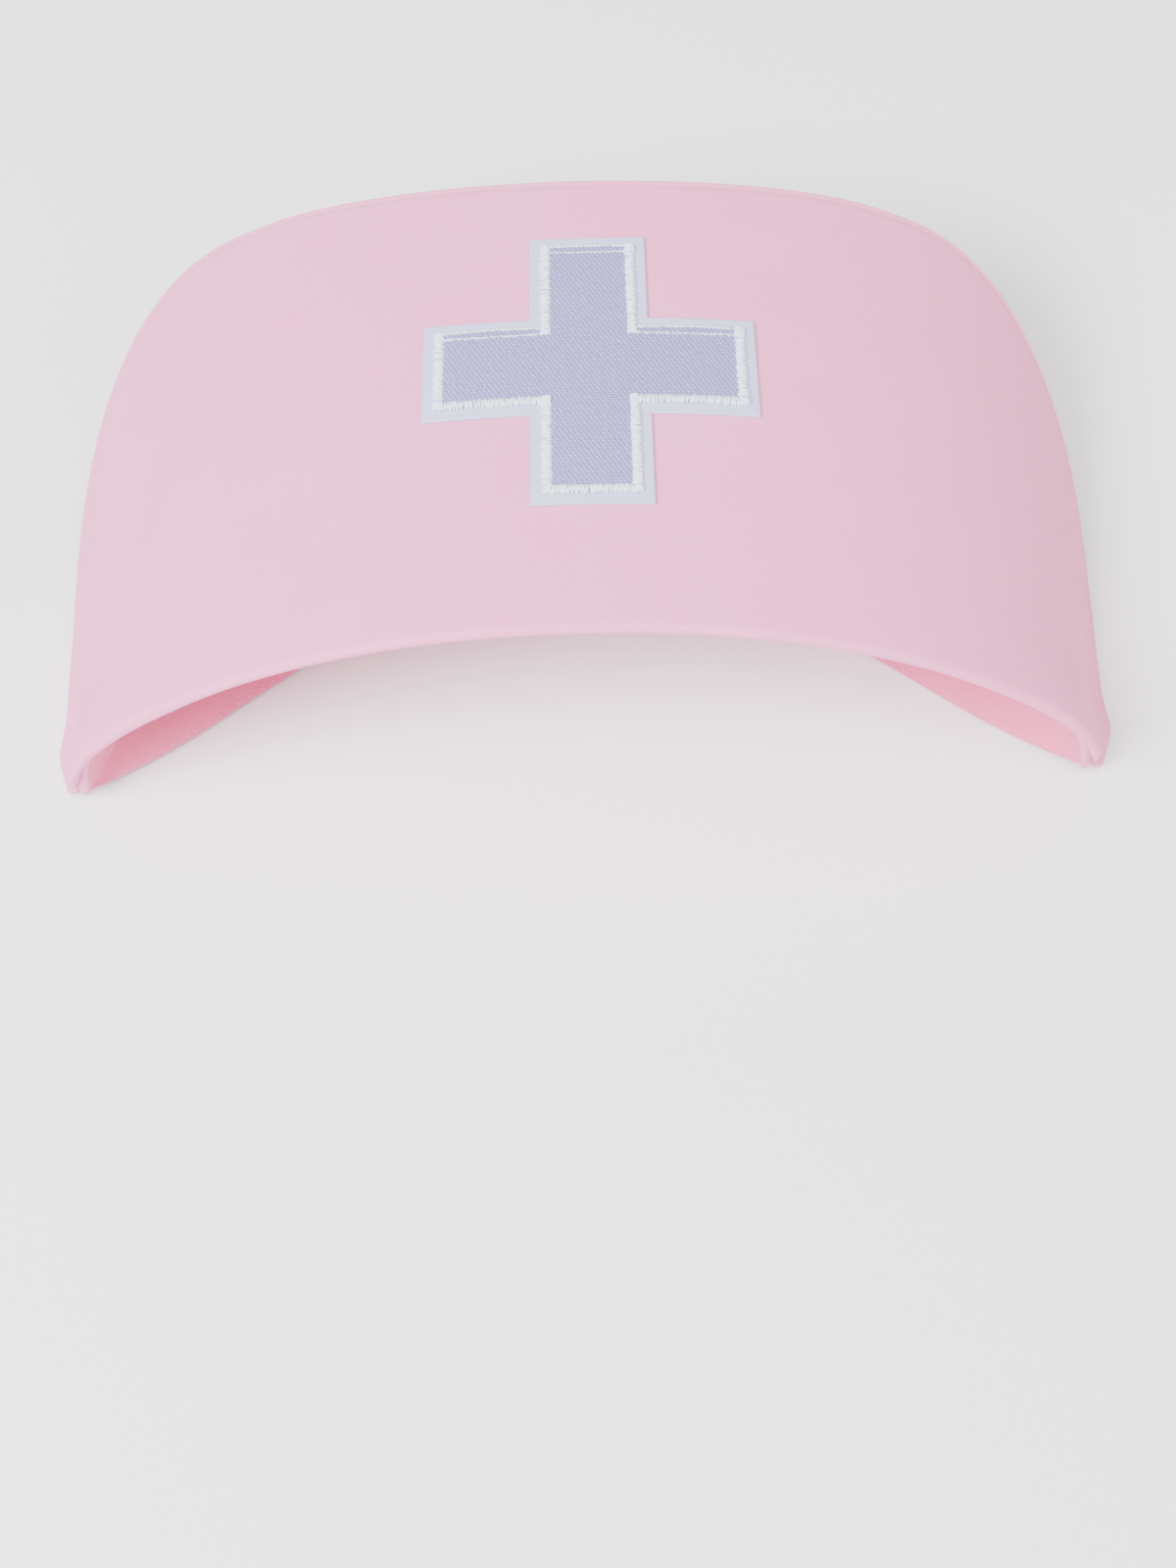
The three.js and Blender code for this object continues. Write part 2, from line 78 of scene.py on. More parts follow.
BUTTON_LIFT = 0.9
BUTTON_RECESS = 0.7
RECESS_DIAMETER = 7.2
HOLE_DIAMETER = 1.5
HOLE_PITCH = 2.7
BUTTON_RISE = 12.3
SLOT_LENGTH = 15.0
FOLD_SQUARENESS = 2.1
RIM_SQUARENESS = 2.3
LAYER = CLOTH + GAP
ROLL_RADIUS = LAYER / 2
WING_INSET = 2.6 * LAYER

# The lower corners bulge sideways: how far, and between which sides and heights that fades
CORNER_SPREAD = 3.1
SPREAD_SIDE, SPREAD_SIDE_REACH = 84.0, 26.0
SPREAD_UP, SPREAD_UP_REACH = 1.0, 21.0

# Turns, from 0 in front to 1 at a corner, where forms of the corner begin
CORNER_TURN = 0.70
LIFT_TURN = 0.88
CLOSING_TURN = 0.92

# The crown wall: its top beneath the wings' plane, in layers, and how close it hugs the cuff
TOP_STRETCH = 1.06
WALL_SINK, PANEL_SINK = 1.25, 2.05
HUG_INSET, HUG = 1.1 * LAYER, 2.2
ARM_HEIGHT = 1.5

# Shares of the under wing's length over which it sinks under the other, and tucks in
SINK_REACH = 0.6
TUCK_FROM, TUCK_REACH = 0.45, 0.25

# Lengths of the flat cloth
HALF_ROUND = 130.0
WALL_HEIGHT = 120.0

# Small folds out of the lower corners: slope, width and amount
CORNER_CREASES = ((0.10, 0.05, 0.9), (0.28, 0.07, -0.8), (0.46, 0.08, 0.6))
CREASE_DEPTH = 0.6

# The lean at which the cap lies on its back
REST_LEAN = math.radians(95.588)

# Heights of the cuff's free edge: turn towards the corner, and a share of the front height
RIM_TABLE = np.array([
    (0.000, 1.000), (0.300, 0.990), (0.437, 0.970), (0.517, 0.944), (0.590, 0.897), (0.667, 0.824),
    (0.733, 0.742), (0.800, 0.646), (0.874, 0.536), (0.944, 0.400), (0.976, 0.270), (1.000, 0.060),
])

# A wing from its crease to its tip: along, side, rise, low side, fall, drop
WING_TABLE = np.array([
    (0.00, 1.000, 1.000, 0.978, 0.965, 0.965),
    (0.10, 0.880, 0.929, 0.920, 0.930, 0.885),
    (0.22, 0.730, 0.842, 0.820, 0.840, 0.780),
    (0.36, 0.550, 0.738, 0.650, 0.670, 0.610),
    (0.50, 0.370, 0.633, 0.470, 0.480, 0.475),
    (0.64, 0.190, 0.528, 0.240, 0.235, 0.240),
    (0.78, -0.020, 0.413, 0.000, 0.000, 0.000),
    (0.88, -0.150, 0.320, -0.080, -0.100, 0.000),
    (0.95, -0.235, 0.262, -0.148, -0.148, 0.000),
    (1.00, -0.276, 0.215, -0.178, -0.190, 0.000),
])


def smooth_row(table, column, share):
    """A curve through the rows of a table, with no overshoot between them."""
    keys, values = table[:, 0], table[:, column]
    share = np.clip(share, keys[0], keys[-1])
    slope = np.diff(values) / np.diff(keys)
    before, after = slope[:-1], slope[1:]
    both = np.where(before * after > 0, before + after, 1.0)
    inner = np.where(before * after > 0, 2 * before * after / both, 0.0)
    tangent = np.concatenate([slope[:1], inner, slope[-1:]])
    k = np.clip(np.searchsorted(keys, share, side="right") - 1, 0, len(keys) - 2)
    span = keys[k + 1] - keys[k]
    t = (share - keys[k]) / span
    start = values[k] * (1 + 2 * t) * (1 - t) ** 2 + tangent[k] * span * t * (1 - t) ** 2
    end = values[k + 1] * t * t * (3 - 2 * t) - tangent[k + 1] * span * t * t * (1 - t)
    return start + end


def smooth_step(t):
    c = np.clip(t, 0, 1)
    return c * c * (3 - 2 * c)


def ramp(value, start, reach):
    """0 up to a start, and from there smoothly to 1 over a reach."""
    return smooth_step((value - start) / reach)


def toward_corner(turn, start):
    return ramp(np.abs(turn), start, 1 - start)


def ridge(value, middle, width):
    return np.exp(-((value - middle) / width) ** 2)


def mirrored(half):
    """Values on both sides of 0, from those on one side."""
    return np.concatenate([-half[::-1], half[1:]])


def halved(low, high, rounds, below):
    """Where a test stops holding between low and high."""
    for _ in range(rounds):
        middle = (low + high) / 2
        test = below(middle)
        low, high = np.where(test, middle, low), np.where(test, high, middle)
    return middle


def at(side, ahead, up):
    """Points of the cap while it stands upright on its bottom fold."""
    side, ahead, up = np.broadcast_arrays(side, ahead, up)
    return np.stack([side, -ahead, up], axis=-1).astype(float)


def unit(v):
    return v / np.maximum(np.linalg.norm(v, axis=-1, keepdims=True), 1e-12)


def mix(a, b, t):
    t = np.asarray(t)[..., None]
    return a * (1 - t) + b * t


def power(value, squareness):
    return np.sign(value) * np.abs(value) ** (2 / squareness)


def fold_point(turn):
    angle = np.asarray(turn) * math.pi / 2
    ahead = power(np.cos(angle), FOLD_SQUARENESS)
    side = FOLD_HALF_WIDTH * power(np.sin(angle), FOLD_SQUARENESS)
    return at(side, DEPTH * ahead, FOLD_LIFT * ahead ** 3)


def rim_point(turn):
    turn = np.asarray(turn)
    angle = turn * math.pi / 2
    back = SIDE_ROLL * toward_corner(turn, CORNER_TURN)
    height = FRONT_HEIGHT * smooth_row(RIM_TABLE, 1, np.abs(turn))
    tuck = CORNER_TUCK * (1 - smooth_step(height / CORNER_ROUND))
    side = (RIM_HALF_WIDTH - tuck) * power(np.sin(angle), RIM_SQUARENESS)
    return at(side, DEPTH * power(np.cos(angle), RIM_SQUARENESS) - back, height)


def cuff_point(turn, b):
    return mix(fold_point(turn), rim_point(turn), b)


def cuff_outward(turn, b):
    e = 1e-3
    along = cuff_point(np.minimum(turn + e, 1), b) - cuff_point(np.maximum(turn - e, -1), b)
    across = cuff_point(turn, np.asarray(b) + e) - cuff_point(turn, np.asarray(b) - e)
    return unit(np.cross(along, across))


def fold_frame(turn):
    outward = cuff_outward(turn, np.zeros_like(turn))
    up = unit(rim_point(turn) - fold_point(turn))
    return outward, up, fold_point(turn) - outward * ROLL_RADIUS


# The wings' plane, from their lower edges' crossing up to the crown's corners
CORNER_SHARE = (CORNER_HALF_WIDTH / RIM_HALF_WIDTH) ** RIM_SQUARENESS
CORNER_AHEAD = DEPTH * (1 - CORNER_SHARE) ** (1 / RIM_SQUARENESS)
WING_CORNER = at(0, CORNER_AHEAD - WING_INSET, CORNER_HEIGHT)
CROSSING = at(0, CROSSING_AHEAD, CROSSING_HEIGHT)
WING_LENGTH = np.linalg.norm(WING_CORNER - CROSSING)
WING_UP = unit(WING_CORNER - CROSSING)
ACROSS = np.array([1.0, 0.0, 0.0])
WING_OUT = -unit(np.cross(ACROSS, WING_UP))
CORNER_FALL = -CROSSING @ WING_UP
CORNER_DROP = -CROSSING @ WING_OUT


def in_wing(side, rise, out):
    side, rise, out = np.broadcast_arrays(side, rise, out)
    place = CROSSING + rise[..., None] * WING_UP + out[..., None] * WING_OUT
    return place + side[..., None] * ACROSS


def wall_top(turn):
    share = np.abs(turn)
    corner_turn = 1 - PANEL_HALF_WIDTH / CORNER_HALF_WIDTH
    side = np.sign(turn) * CORNER_HALF_WIDTH * np.minimum(1, share * TOP_STRETCH)
    dip = PANEL_DIP * (1 - smooth_step(share))
    height = CORNER_HEIGHT - dip - LAYER / 2
    beneath = LAYER * (WALL_SINK + PANEL_SINK * smooth_step((1.02 - share) / corner_turn))
    return in_wing(side, (height - CROSSING_HEIGHT) / WING_UP[2], -beneath)


def wall_point(turn, b):
    outward, up, centre = fold_frame(turn)
    start = centre - outward * ROLL_RADIUS + up * (ARM_HEIGHT + 2 * GAP)
    straight = mix(start, wall_top(turn), b)
    hugged = cuff_point(turn, b) - cuff_outward(turn, b) * HUG_INSET
    return mix(straight, hugged, np.minimum(1, (1 - b) ** 2 * b * HUG))


def wing_point(hand, a, b):
    side, rise, low_side, fall, drop = (smooth_row(WING_TABLE, c, a) for c in range(1, 6))
    under = 0.0
    if hand < 0:
        under = LAYER * smooth_step(a / SINK_REACH) + TIP_TUCK * ramp(a, TUCK_FROM, TUCK_REACH)
    upper = in_wing(side * CORNER_HALF_WIDTH, rise * WING_LENGTH, 0)
    lower = in_wing(low_side * FOLD_HALF_WIDTH, fall * CORNER_FALL, drop * CORNER_DROP)
    point = mix(lower, upper, b) - np.asarray(under)[..., None] * WING_OUT
    if hand < 0:
        point[..., 0] = np.where(point[..., 0] < 0, point[..., 0] * UNDER_TIP, point[..., 0])
    point[..., 0] *= hand
    return point


def wing_dip(side, rise):
    """How far the over wing dips beneath the wings' plane, at places in that plane."""
    def place(a):
        foot = wing_point(1, a, np.zeros_like(a)) - CROSSING
        head = wing_point(1, a, np.ones_like(a)) - CROSSING
        start, end = foot @ WING_UP, head @ WING_UP
        return mix(foot, head, np.minimum(1, (rise - start) / (end - start)))

    none, whole = np.zeros_like(rise), np.ones_like(rise)
    return place(halved(none, whole, 30, lambda a: place(a)[..., 0] > np.abs(side))) @ WING_OUT


# From upright millimetres to the frame's metres: lean back, then sit where the solid cuff sits
def leant(points):
    x, y, z = points[..., 0], points[..., 1], points[..., 2]
    c, s = math.cos(REST_LEAN), math.sin(REST_LEAN)
    return np.stack([x, y * c + z * s, -y * s + z * c], axis=-1)


def cuff_shift():
    turns, shares = np.meshgrid(np.linspace(-1, 1, 161), np.linspace(0, 1, 41), indexing="ij")
    outward = cuff_outward(turns, shares)
    middle, half = cuff_point(turns, shares), outward * CLOTH / 2
    ends = leant(np.concatenate([middle - half, middle + half])).reshape(-1, 3)
    low, high = (np.array(corner) * 1000 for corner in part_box("cuff"))
    shift = high - ends.max(axis=0)
    shift[0] = (low[0] + high[0]) / 2
    return shift


REST_SHIFT = cuff_shift()


def spread_corners(points):
    """Moves the cloth beside both lower corners outward, all its layers together."""
    side, up = points[..., 0], points[..., 2]
    share = ramp(np.abs(side), SPREAD_SIDE, SPREAD_SIDE_REACH)
    share = share * (1 - ramp(up, SPREAD_UP, SPREAD_UP_REACH))
    moved = points.copy()
    moved[..., 0] += np.sign(side) * CORNER_SPREAD * share
    return moved


def placed(points):
    return (leant(spread_corners(np.asarray(points, dtype=float))) + REST_SHIFT) / 1000


# Meshes
def linked(name, data):
    obj = bpy.data.objects.new(name, data)
    bpy.context.collection.objects.link(obj)
    return obj


def mesh_object(name, points, faces, material, uv=None, marks=None):
    """An object from upright points and faces. uv gives each point's place on the flat cloth."""
    mesh = bpy.data.meshes.new(name)
    mesh.from_pydata(placed(points).tolist(), [], faces)
    mesh.validate()
    for mark, values in (marks or {}).items():
        attribute = mesh.attributes.new(name=mark, type="FLOAT", domain="POINT")
        attribute.data.foreach_set("value", np.asarray(values, dtype=np.float32))
    if uv is not None:
        layer = mesh.uv_layers.new(name="cloth")
        order = np.empty(len(mesh.loops), dtype=np.int64)
        mesh.loops.foreach_get("vertex_index", order)
        layer.data.foreach_set("uv", np.asarray(uv, dtype=np.float32)[order].ravel())
    mesh.polygons.foreach_set("use_smooth", [True] * len(mesh.polygons))
    mesh.materials.append(material)
    mesh.update()
    return linked(name, mesh)


def piece(obj, slot, *nodes):
    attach(obj, "root")
    if nodes:
        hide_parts(*nodes)


def lengths_along(points):
    """How far along its row each point of a grid is."""
    steps = np.linalg.norm(np.diff(points, axis=1), axis=-1)
    return np.hstack([np.zeros((len(points), 1)), np.cumsum(steps, axis=1)])


def edge_distance(points, valid):
    """How far each point of a masked grid is from the sheet's edge, along the grid's lines."""
    distance = np.full(valid.shape, 1e9)
    for turned_over in (False, True):
        views = [v.swapaxes(0, 1) if turned_over else v for v in (points, valid, distance)]
        for line, inside, least in zip(lengths_along(views[0]), views[1], views[2]):
            used = np.flatnonzero(inside)
            if len(used):
                near = np.minimum(line - line[used[0]], line[used[-1]] - line)
                np.minimum(least, near, out=least)
    return np.maximum(distance, 0)


def grid_faces(valid):
    """The cells of a grid whose four corners are all on the sheet."""
    whole = valid[:-1, :-1] & valid[1:, :-1] & valid[1:, 1:] & valid[:-1, 1:]
    i, j = np.nonzero(whole)
    stride = valid.shape[1]
    a = i * stride + j
    return np.stack([a, a + stride, a + stride + 1, a + 1], axis=1)


def cell_normals(points, faces):
    """Each cell's normal, whose length is twice the cell's area."""
    corners = points.reshape(-1, 3)[faces]
    return np.cross(corners[:, 2] - corners[:, 0], corners[:, 3] - corners[:, 1])


def grid_normals(points, faces):
    total = np.zeros((points.size // 3, 3))
    for k in range(4):
        np.add.at(total, faces[:, k], cell_normals(points, faces))
    return unit(total).reshape(points.shape)


def sheet_mesh(name, points, valid, material, uv, half_thickness, marks=None):
    """A two-sided sheet with rounded edges. marks gives named values for its front and its back."""
    faces = grid_faces(valid)
    normals = grid_normals(points, faces)
    used = np.zeros(valid.size, dtype=bool)
    used[faces.ravel()] = True
    inside = used & (half_thickness.ravel() > 1e-6)
    flat, out, half = points.reshape(-1, 3), normals.reshape(-1, 3), half_thickness.ravel()[:, None]
    front = np.full(valid.size, -1)
    front[used] = np.arange(used.sum())
    back = front.copy()
    back[inside] = used.sum() + np.arange(inside.sum())

    def joined(ahead, behind):
        return np.concatenate([ahead[used], behind[inside]])

    vertices = joined(flat + out * half, flat - out * half)
    cells = np.concatenate([front[faces], back[faces][:, ::-1]]).tolist()
    values = {mark: joined(*(v.ravel() for v in pair)) for mark, pair in (marks or {}).items()}
    places = uv.reshape(-1, 2)
    return mesh_object(name, vertices, cells, material, joined(places, places), values)


def rounded(distance, half):
    """Half the thickness of a sheet whose edge is a half round."""
    near = np.clip(1 - distance / half, 0, 1)
    return half * np.sqrt(np.maximum(0, 1 - near * near))


# Materials
MIX_FACTOR, MIX_FIRST, MIX_SECOND = 0, 6, 7
PINK = (0.94, 0.32, 0.57, 1)
PINK_DEEP = (0.88, 0.21, 0.43, 1)
PINK_PALE = (0.94, 0.35, 0.63, 1)
# Painted shade colour for the cloth's inner faces
PINK_PAINTED_SHADE = (0.80, 0.12, 0.24, 1)
SEAM_SHADE = (0.66, 0.28, 0.36, 1)
FELT_DEEP = (0.44, 0.49, 0.72, 1)
FELT_PALE = (0.62, 0.66, 0.88, 1)
TWILL_DEEP = (0.205, 0.17, 0.42, 1)
TWILL_PALE = (0.55, 0.55, 0.85, 1)
PEARL_DEEP = (0.82, 0.22, 0.28, 1)
PEARL_PALE = (0.92, 0.40, 0.46, 1)
# Painted shade colour for the button's recess
PEARL_PAINTED_SHADE = (0.70, 0.09, 0.14, 1)


def nodes_of(name):
    material = bpy.data.materials.new(name)
    material.use_nodes = True
    tree = material.node_tree
    return material, tree, tree.nodes["Principled BSDF"]


def set_inputs(made, **values):
    for key, value in values.items():
        made.inputs[key.replace("_", " ")].default_value = value


def node(tree, kind, settings=None, **values):
    made = tree.nodes.new(kind)
    for key, value in (settings or {}).items():
        setattr(made, key, value)
    set_inputs(made, **values)
    return made


def feed(tree, socket, value):
    """Sets a number or colour on a socket, or links another node's output to it."""
    if isinstance(value, (int, float, tuple)):
        socket.default_value = value
    else:
        tree.links.new(value, socket)


def math_node(tree, operation, first, second):
    made = node(tree, "ShaderNodeMath", {"operation": operation})
    feed(tree, made.inputs[0], first)
    feed(tree, made.inputs[1], second)
    return made.outputs[0]


def plus(tree, first, second):
    return math_node(tree, "ADD", first, second)


def times(tree, first, second):
    return math_node(tree, "MULTIPLY", first, second)


def colour_mix(tree, factor, first, second):
    made = node(tree, "ShaderNodeMix", {"data_type": "RGBA"})
    for index, value in ((MIX_FACTOR, factor), (MIX_FIRST, first), (MIX_SECOND, second)):
        feed(tree, made.inputs[index], value)
    return made.outputs[2]


def marked(tree, name, share, tint, colour):
    """Mixes a colour in by a share where the mesh carries a named mark."""
    mark = node(tree, "ShaderNodeAttribute", {"attribute_name": name}).outputs["Fac"]
    return colour_mix(tree, times(tree, mark, share), tint, colour)


def cloth_places(tree):
    """The flat cloth's places, and their two coordinates, in millimetres."""
    uv = node(tree, "ShaderNodeUVMap", {"uv_map": "cloth"}).outputs[0]
    parts = node(tree, "ShaderNodeSeparateXYZ")
    tree.links.new(uv, parts.inputs[0])
    return uv, parts.outputs[0], parts.outputs[1]


def solid_places(tree):
    return node(tree, "ShaderNodeTexCoord").outputs["Object"]


def noise(tree, place, scale, detail=2.0, roughness=0.5):
    made = node(tree, "ShaderNodeTexNoise", Scale=scale, Detail=detail, Roughness=roughness)
    tree.links.new(place, made.inputs["Vector"])
    return made.outputs[0]


def thread_wave(tree, place, pitch, wobble):
    """A ridge for each thread: 0 between threads and 1 on top of them."""
    phase = plus(tree, times(tree, place, 2 * math.pi / pitch), wobble)
    return math_node(tree, "MULTIPLY_ADD", math_node(tree, "SINE", phase, 0), 0.5)


def finish_cloth(tree, shader, tint, height, strength, relief_mm):
    """Gives a shader its colour and its fine relief."""
    relief = node(tree, "ShaderNodeBump", Strength=strength, Distance=relief_mm / 1000)
    tree.links.new(height, relief.inputs["Height"])
    tree.links.new(tint, shader.inputs["Base Color"])
    tree.links.new(relief.outputs[0], shader.inputs["Normal"])


def pink_cotton():
    """Fine twill: crossed threads, a stronger diagonal, painted shade along the stitch line and the
    edges, and painted shade on the inner faces.
    """
    material, tree, shader = nodes_of("pink_cotton")
    uv, across, along = cloth_places(tree)
    wobble = times(tree, noise(tree, uv, 0.6), 5.0)
    ribs = thread_wave(tree, across, 0.52, wobble)
    weft = thread_wave(tree, along, 0.44, wobble)
    diagonal = thread_wave(tree, plus(tree, across, along), 0.85, wobble)
    weave = plus(tree, times(tree, ribs, 0.35), times(tree, weft, 0.2))
    weave = plus(tree, weave, times(tree, diagonal, 0.6))
    slubs = noise(tree, uv, 1.3, 3.0, 0.6)
    height = plus(tree, weave, times(tree, slubs, 0.5))
    threads = colour_mix(tree, times(tree, height, 0.68), PINK_DEEP, PINK)
    clouds = times(tree, noise(tree, uv, 0.05, 3.0), 0.5)
    tint = colour_mix(tree, clouds, threads, PINK_PALE)
    # Painted shade along the stitch line and at the cloth's edges
    tint = marked(tree, "seam", 0.55, tint, SEAM_SHADE)
    # Painted shade: the inner faces of wall and wings are tinted deeper pink
    tint = marked(tree, "painted_shade", 0.6, tint, PINK_PAINTED_SHADE)
    set_inputs(shader, Roughness=0.88, Sheen_Weight=0.08, Sheen_Roughness=0.5)
    finish_cloth(tree, shader, tint, height, 0.7, 0.14)
    return material


def felt():
    material, tree, shader = nodes_of("pale_felt")
    uv, _, _ = cloth_places(tree)
    fibres = noise(tree, uv, 2.6, 5.0, 0.7)
    set_inputs(shader, Roughness=0.95, Sheen_Weight=0.25)
    finish_cloth(tree, shader, colour_mix(tree, fibres, FELT_DEEP, FELT_PALE), fibres, 0.6, 0.25)
    return material


def lavender_twill():
    """Diagonal twill with pale flecks."""
    material, tree, shader = nodes_of("lavender_twill")
    uv, across, along = cloth_places(tree)
    wobble = times(tree, noise(tree, uv, 0.9), 6.0)
    slope = plus(tree, across, times(tree, along, 0.6))
    diagonal = thread_wave(tree, slope, 1.05, wobble)
    weave = times(tree, diagonal, thread_wave(tree, along, 0.62, wobble))
    light = times(tree, weave, times(tree, noise(tree, uv, 1.5, 3.0, 0.7), 1.9))
    set_inputs(shader, Roughness=0.8, Sheen_Weight=0.15)
    finish_cloth(tree, shader, colour_mix(tree, light, TWILL_DEEP, TWILL_PALE), weave, 0.7, 0.22)
    return material


def thread(name, colour):
    material, tree, shader = nodes_of(name)
    strands = noise(tree, solid_places(tree), 3500.0)
    pale = tuple(min(1.0, c * 1.05) for c in colour[:3]) + (1,)
    set_inputs(shader, Roughness=0.5, Sheen_Weight=0.3)
    finish_cloth(tree, shader, colour_mix(tree, strands, colour, pale), strands, 0.4, 0.05)
    return material


def pearl():
    """Translucent pearly plastic with soft clouds."""
    material, tree, shader = nodes_of("pearl_plastic")
    clouds = noise(tree, solid_places(tree), 420.0, 3.0, 0.55)
    tint = colour_mix(tree, clouds, PEARL_DEEP, PEARL_PALE)
    # Painted shade: the button's recess is tinted darker
    tree.links.new(marked(tree, "painted_shade", 0.7, tint, PEARL_PAINTED_SHADE), shader.inputs["Base Color"])
    set_inputs(shader, Roughness=0.16, Coat_Weight=0.5, Coat_Roughness=0.06)
    set_inputs(shader, Transmission_Weight=0.15, Subsurface_Weight=0.5, Subsurface_Scale=0.002)
    set_inputs(shader, Subsurface_Radius=(1.0, 0.55, 0.5))
    return material


COTTON = pink_cotton()
FELT = felt()
TWILL = lavender_twill()
WHITE_THREAD = thread("white_thread", (0.80, 0.84, 0.95, 1))
PINK_THREAD = thread("pink_thread", (0.92, 0.34, 0.50, 1))
PALE_THREAD = thread("pale_thread", (0.94, 0.48, 0.60, 1))
PEARL = pearl()


# The folded sheet
EDGE_STEPS_MM = [0.03, 0.12, 0.3, 0.5, 0.75, 1.1, 1.5, 1.9, 2.3, 2.9]
PANEL_STEPS = [0.05 / 90, 0.25 / 90, 0.6 / 90, 1.2 / 90]
COLUMN_GAP = 0.003
WALL_TURN = 0.9876
TONGUE_TURN = PANEL_HALF_WIDTH / CORNER_HALF_WIDTH


def crowded(count, length, start=True):
    """Shares of a length that crowd at its ends, where a sheet's edge is rounded."""
    steps = [e / length for e in EDGE_STEPS_MM]
    clear = steps[-1] * 1.4
    shares = [m for m in np.linspace(0, 1, count)[1:-1] if m < 1 - clear]
    if start:
        shares = steps + [m for m in shares if m > clear]
    return np.array([0.0] + shares + [1 - e for e in reversed(steps)] + [1.0])


def turn_columns():
    """Turns from corner to corner, which crowd at both corners and at the back panel's sides."""
    half = crowded(120, HALF_ROUND, start=False)
    extra = [TONGUE_TURN - e for e in PANEL_STEPS] + [TONGUE_TURN, TONGUE_TURN + 0.004]
    near = [t for t in half if min(abs(t - e) for e in extra) > COLUMN_GAP]
    return mirrored(np.array(sorted(near + extra)))


def corner_creases(turn, b, points):
    """Small folds in the crown wall that run out of the cap's lower corners."""
    height = b * WALL_HEIGHT
    slope = (1 - np.abs(turn)) * HALF_ROUND / (height + 3.0)
    fade = smooth_step(height / 5.0) * (1 - ramp(height, 12.0, 26.0))
    depth = 0.0
    for middle, width, amount in CORNER_CREASES:
        depth = depth + CREASE_DEPTH * amount * ridge(slope, middle, width)
    return points - cuff_outward(turn, b) * (depth * fade)[..., None]


def crease_arc(start, start_way, end, end_way, steps):
    """A soft turn from the end of one panel to the start of the next, as rows of points."""
    chord = np.linalg.norm(end - start, axis=-1, keepdims=True)
    cosine = np.clip((start_way * end_way).sum(-1, keepdims=True), -1, 1)
    bend = np.maximum(np.arccos(cosine), 0.3)
    handle = chord * (2 / 3) * np.tan(bend / 4) / np.sin(bend / 2)
    leave, arrive = start + start_way * handle, end - end_way * handle
    rows = []
    for t in np.linspace(0, 1, steps + 2)[1:-1]:
        s = 1 - t
        ends = s ** 3 * start + t ** 3 * end
        rows.append(ends + 3 * t * s ** 2 * leave + 3 * t ** 2 * s * arrive)
    return rows


# The wings' folds, in millimetres, and how they meet the bottom fold at the lower corners
FOLD_BEND = 0.95
FOLD_CLEARANCE = 0.25
CORNER_BEND = 2.6
BEND_HEIGHT = 0.22
CORNER_CLEARANCE = 0.15
CORNER_LIFT = 2.5
CORNER_DROOP = 0.4
CORNER_ASIDE = 1.6
DOUBLED_HEIGHT = 0.4
OUTER_DRAW = 0.2
CLOSING = 0.65
ARC_ROWS = 13

# Steps of the shares over which slopes are taken
WING_STEP = 0.004
ROW_STEP = 0.01


def fading(share):
    """1 at the start of a share, and nearly 0 from its middle on."""
    return (1 - share) ** 6


def fold_bend(b):
    """The radius of a wing's fold, which is softer low down, where it meets the bottom fold."""
    return FOLD_BEND + CORNER_BEND * (1 - smooth_step(b / BEND_HEIGHT))


def corner_shift(turn, b, draw):
    """How far the bottom fold's ends rise and draw forward, to meet the wings' lower edges."""
    fade = fading(b)
    forward = (fold_bend(0.0) + CORNER_CLEARANCE) * toward_corner(turn, CORNER_TURN)
    rise = CORNER_LIFT * toward_corner(turn, LIFT_TURN)
    inward = -np.sign(turn) * (ROLL_RADIUS - roll_radius(turn))
    return at(inward * fade, forward * fade * draw, rise * fade)


def roll_radius(turn):
    """The bottom fold's radius, which closes at both ends."""
    return ROLL_RADIUS * (1 - CLOSING * toward_corner(turn, CLOSING_TURN))


def crease_frame(hand, b):
    """A wing's crease: its points, the way into the wing, and the way out of its face."""
    start = np.zeros_like(b)
    crease = wing_point(hand, start, b)
    inward = (wing_point(hand, start + WING_STEP, b) - crease) / WING_STEP
    above = wing_point(hand, start, np.minimum(b + ROW_STEP, 1))
    below = wing_point(hand, start, np.maximum(b - ROW_STEP, 0))
    return crease, inward, unit(np.cross(inward, above - below)) * hand


def wing_from_crease(hand, a, b):
    """The wing, from a little inside the crease, so that its fold's outside is on the crease."""
    _, inward, _ = crease_frame(hand, b)
    start = (fold_bend(b) + FOLD_CLEARANCE) / np.linalg.norm(inward, axis=-1)
    droop = at(0, 0, -CORNER_DROOP * (1 - a) ** 10 * fading(b))
    return wing_point(hand, a + start * fading(a), b) + droop


def crease_start(hand, b):
    """Where the crown wall ends at a crease, and which way it runs there.

    High up it doubles back beneath the wing. At the lower corner it meets the wing squarely.
    """
    crease, inward, out = crease_frame(hand, b)
    bend = fold_bend(b)[:, None]
    turn = (smooth_step(b / DOUBLED_HEIGHT) * math.pi / 2)[:, None]
    aside, ahead = -unit(inward), -out
    place = crease - aside * (FOLD_CLEARANCE + bend * (1 - np.cos(turn)))
    place = place + ahead * bend * (1 + np.sin(turn))
    way = unit(aside * np.sin(turn) - ahead * np.cos(turn))
    shift = at(hand * CORNER_ASIDE * fading(b), 0, -CORNER_DROOP * fading(b))
    return place + shift, way, unit(inward)


def reach_crease(turns, wall):
    """Draws the crown wall's ends in to the creases, beneath the wings."""
    for hand, edge in ((-1, 0), (1, -1)):
        target, _, _ = crease_start(hand, WALL_ROWS)
        weight = toward_corner(np.maximum(turns * hand, 0), CORNER_TURN)
        wall = wall + weight[:, None, None] * (target - wall[edge])[None]
    return wall


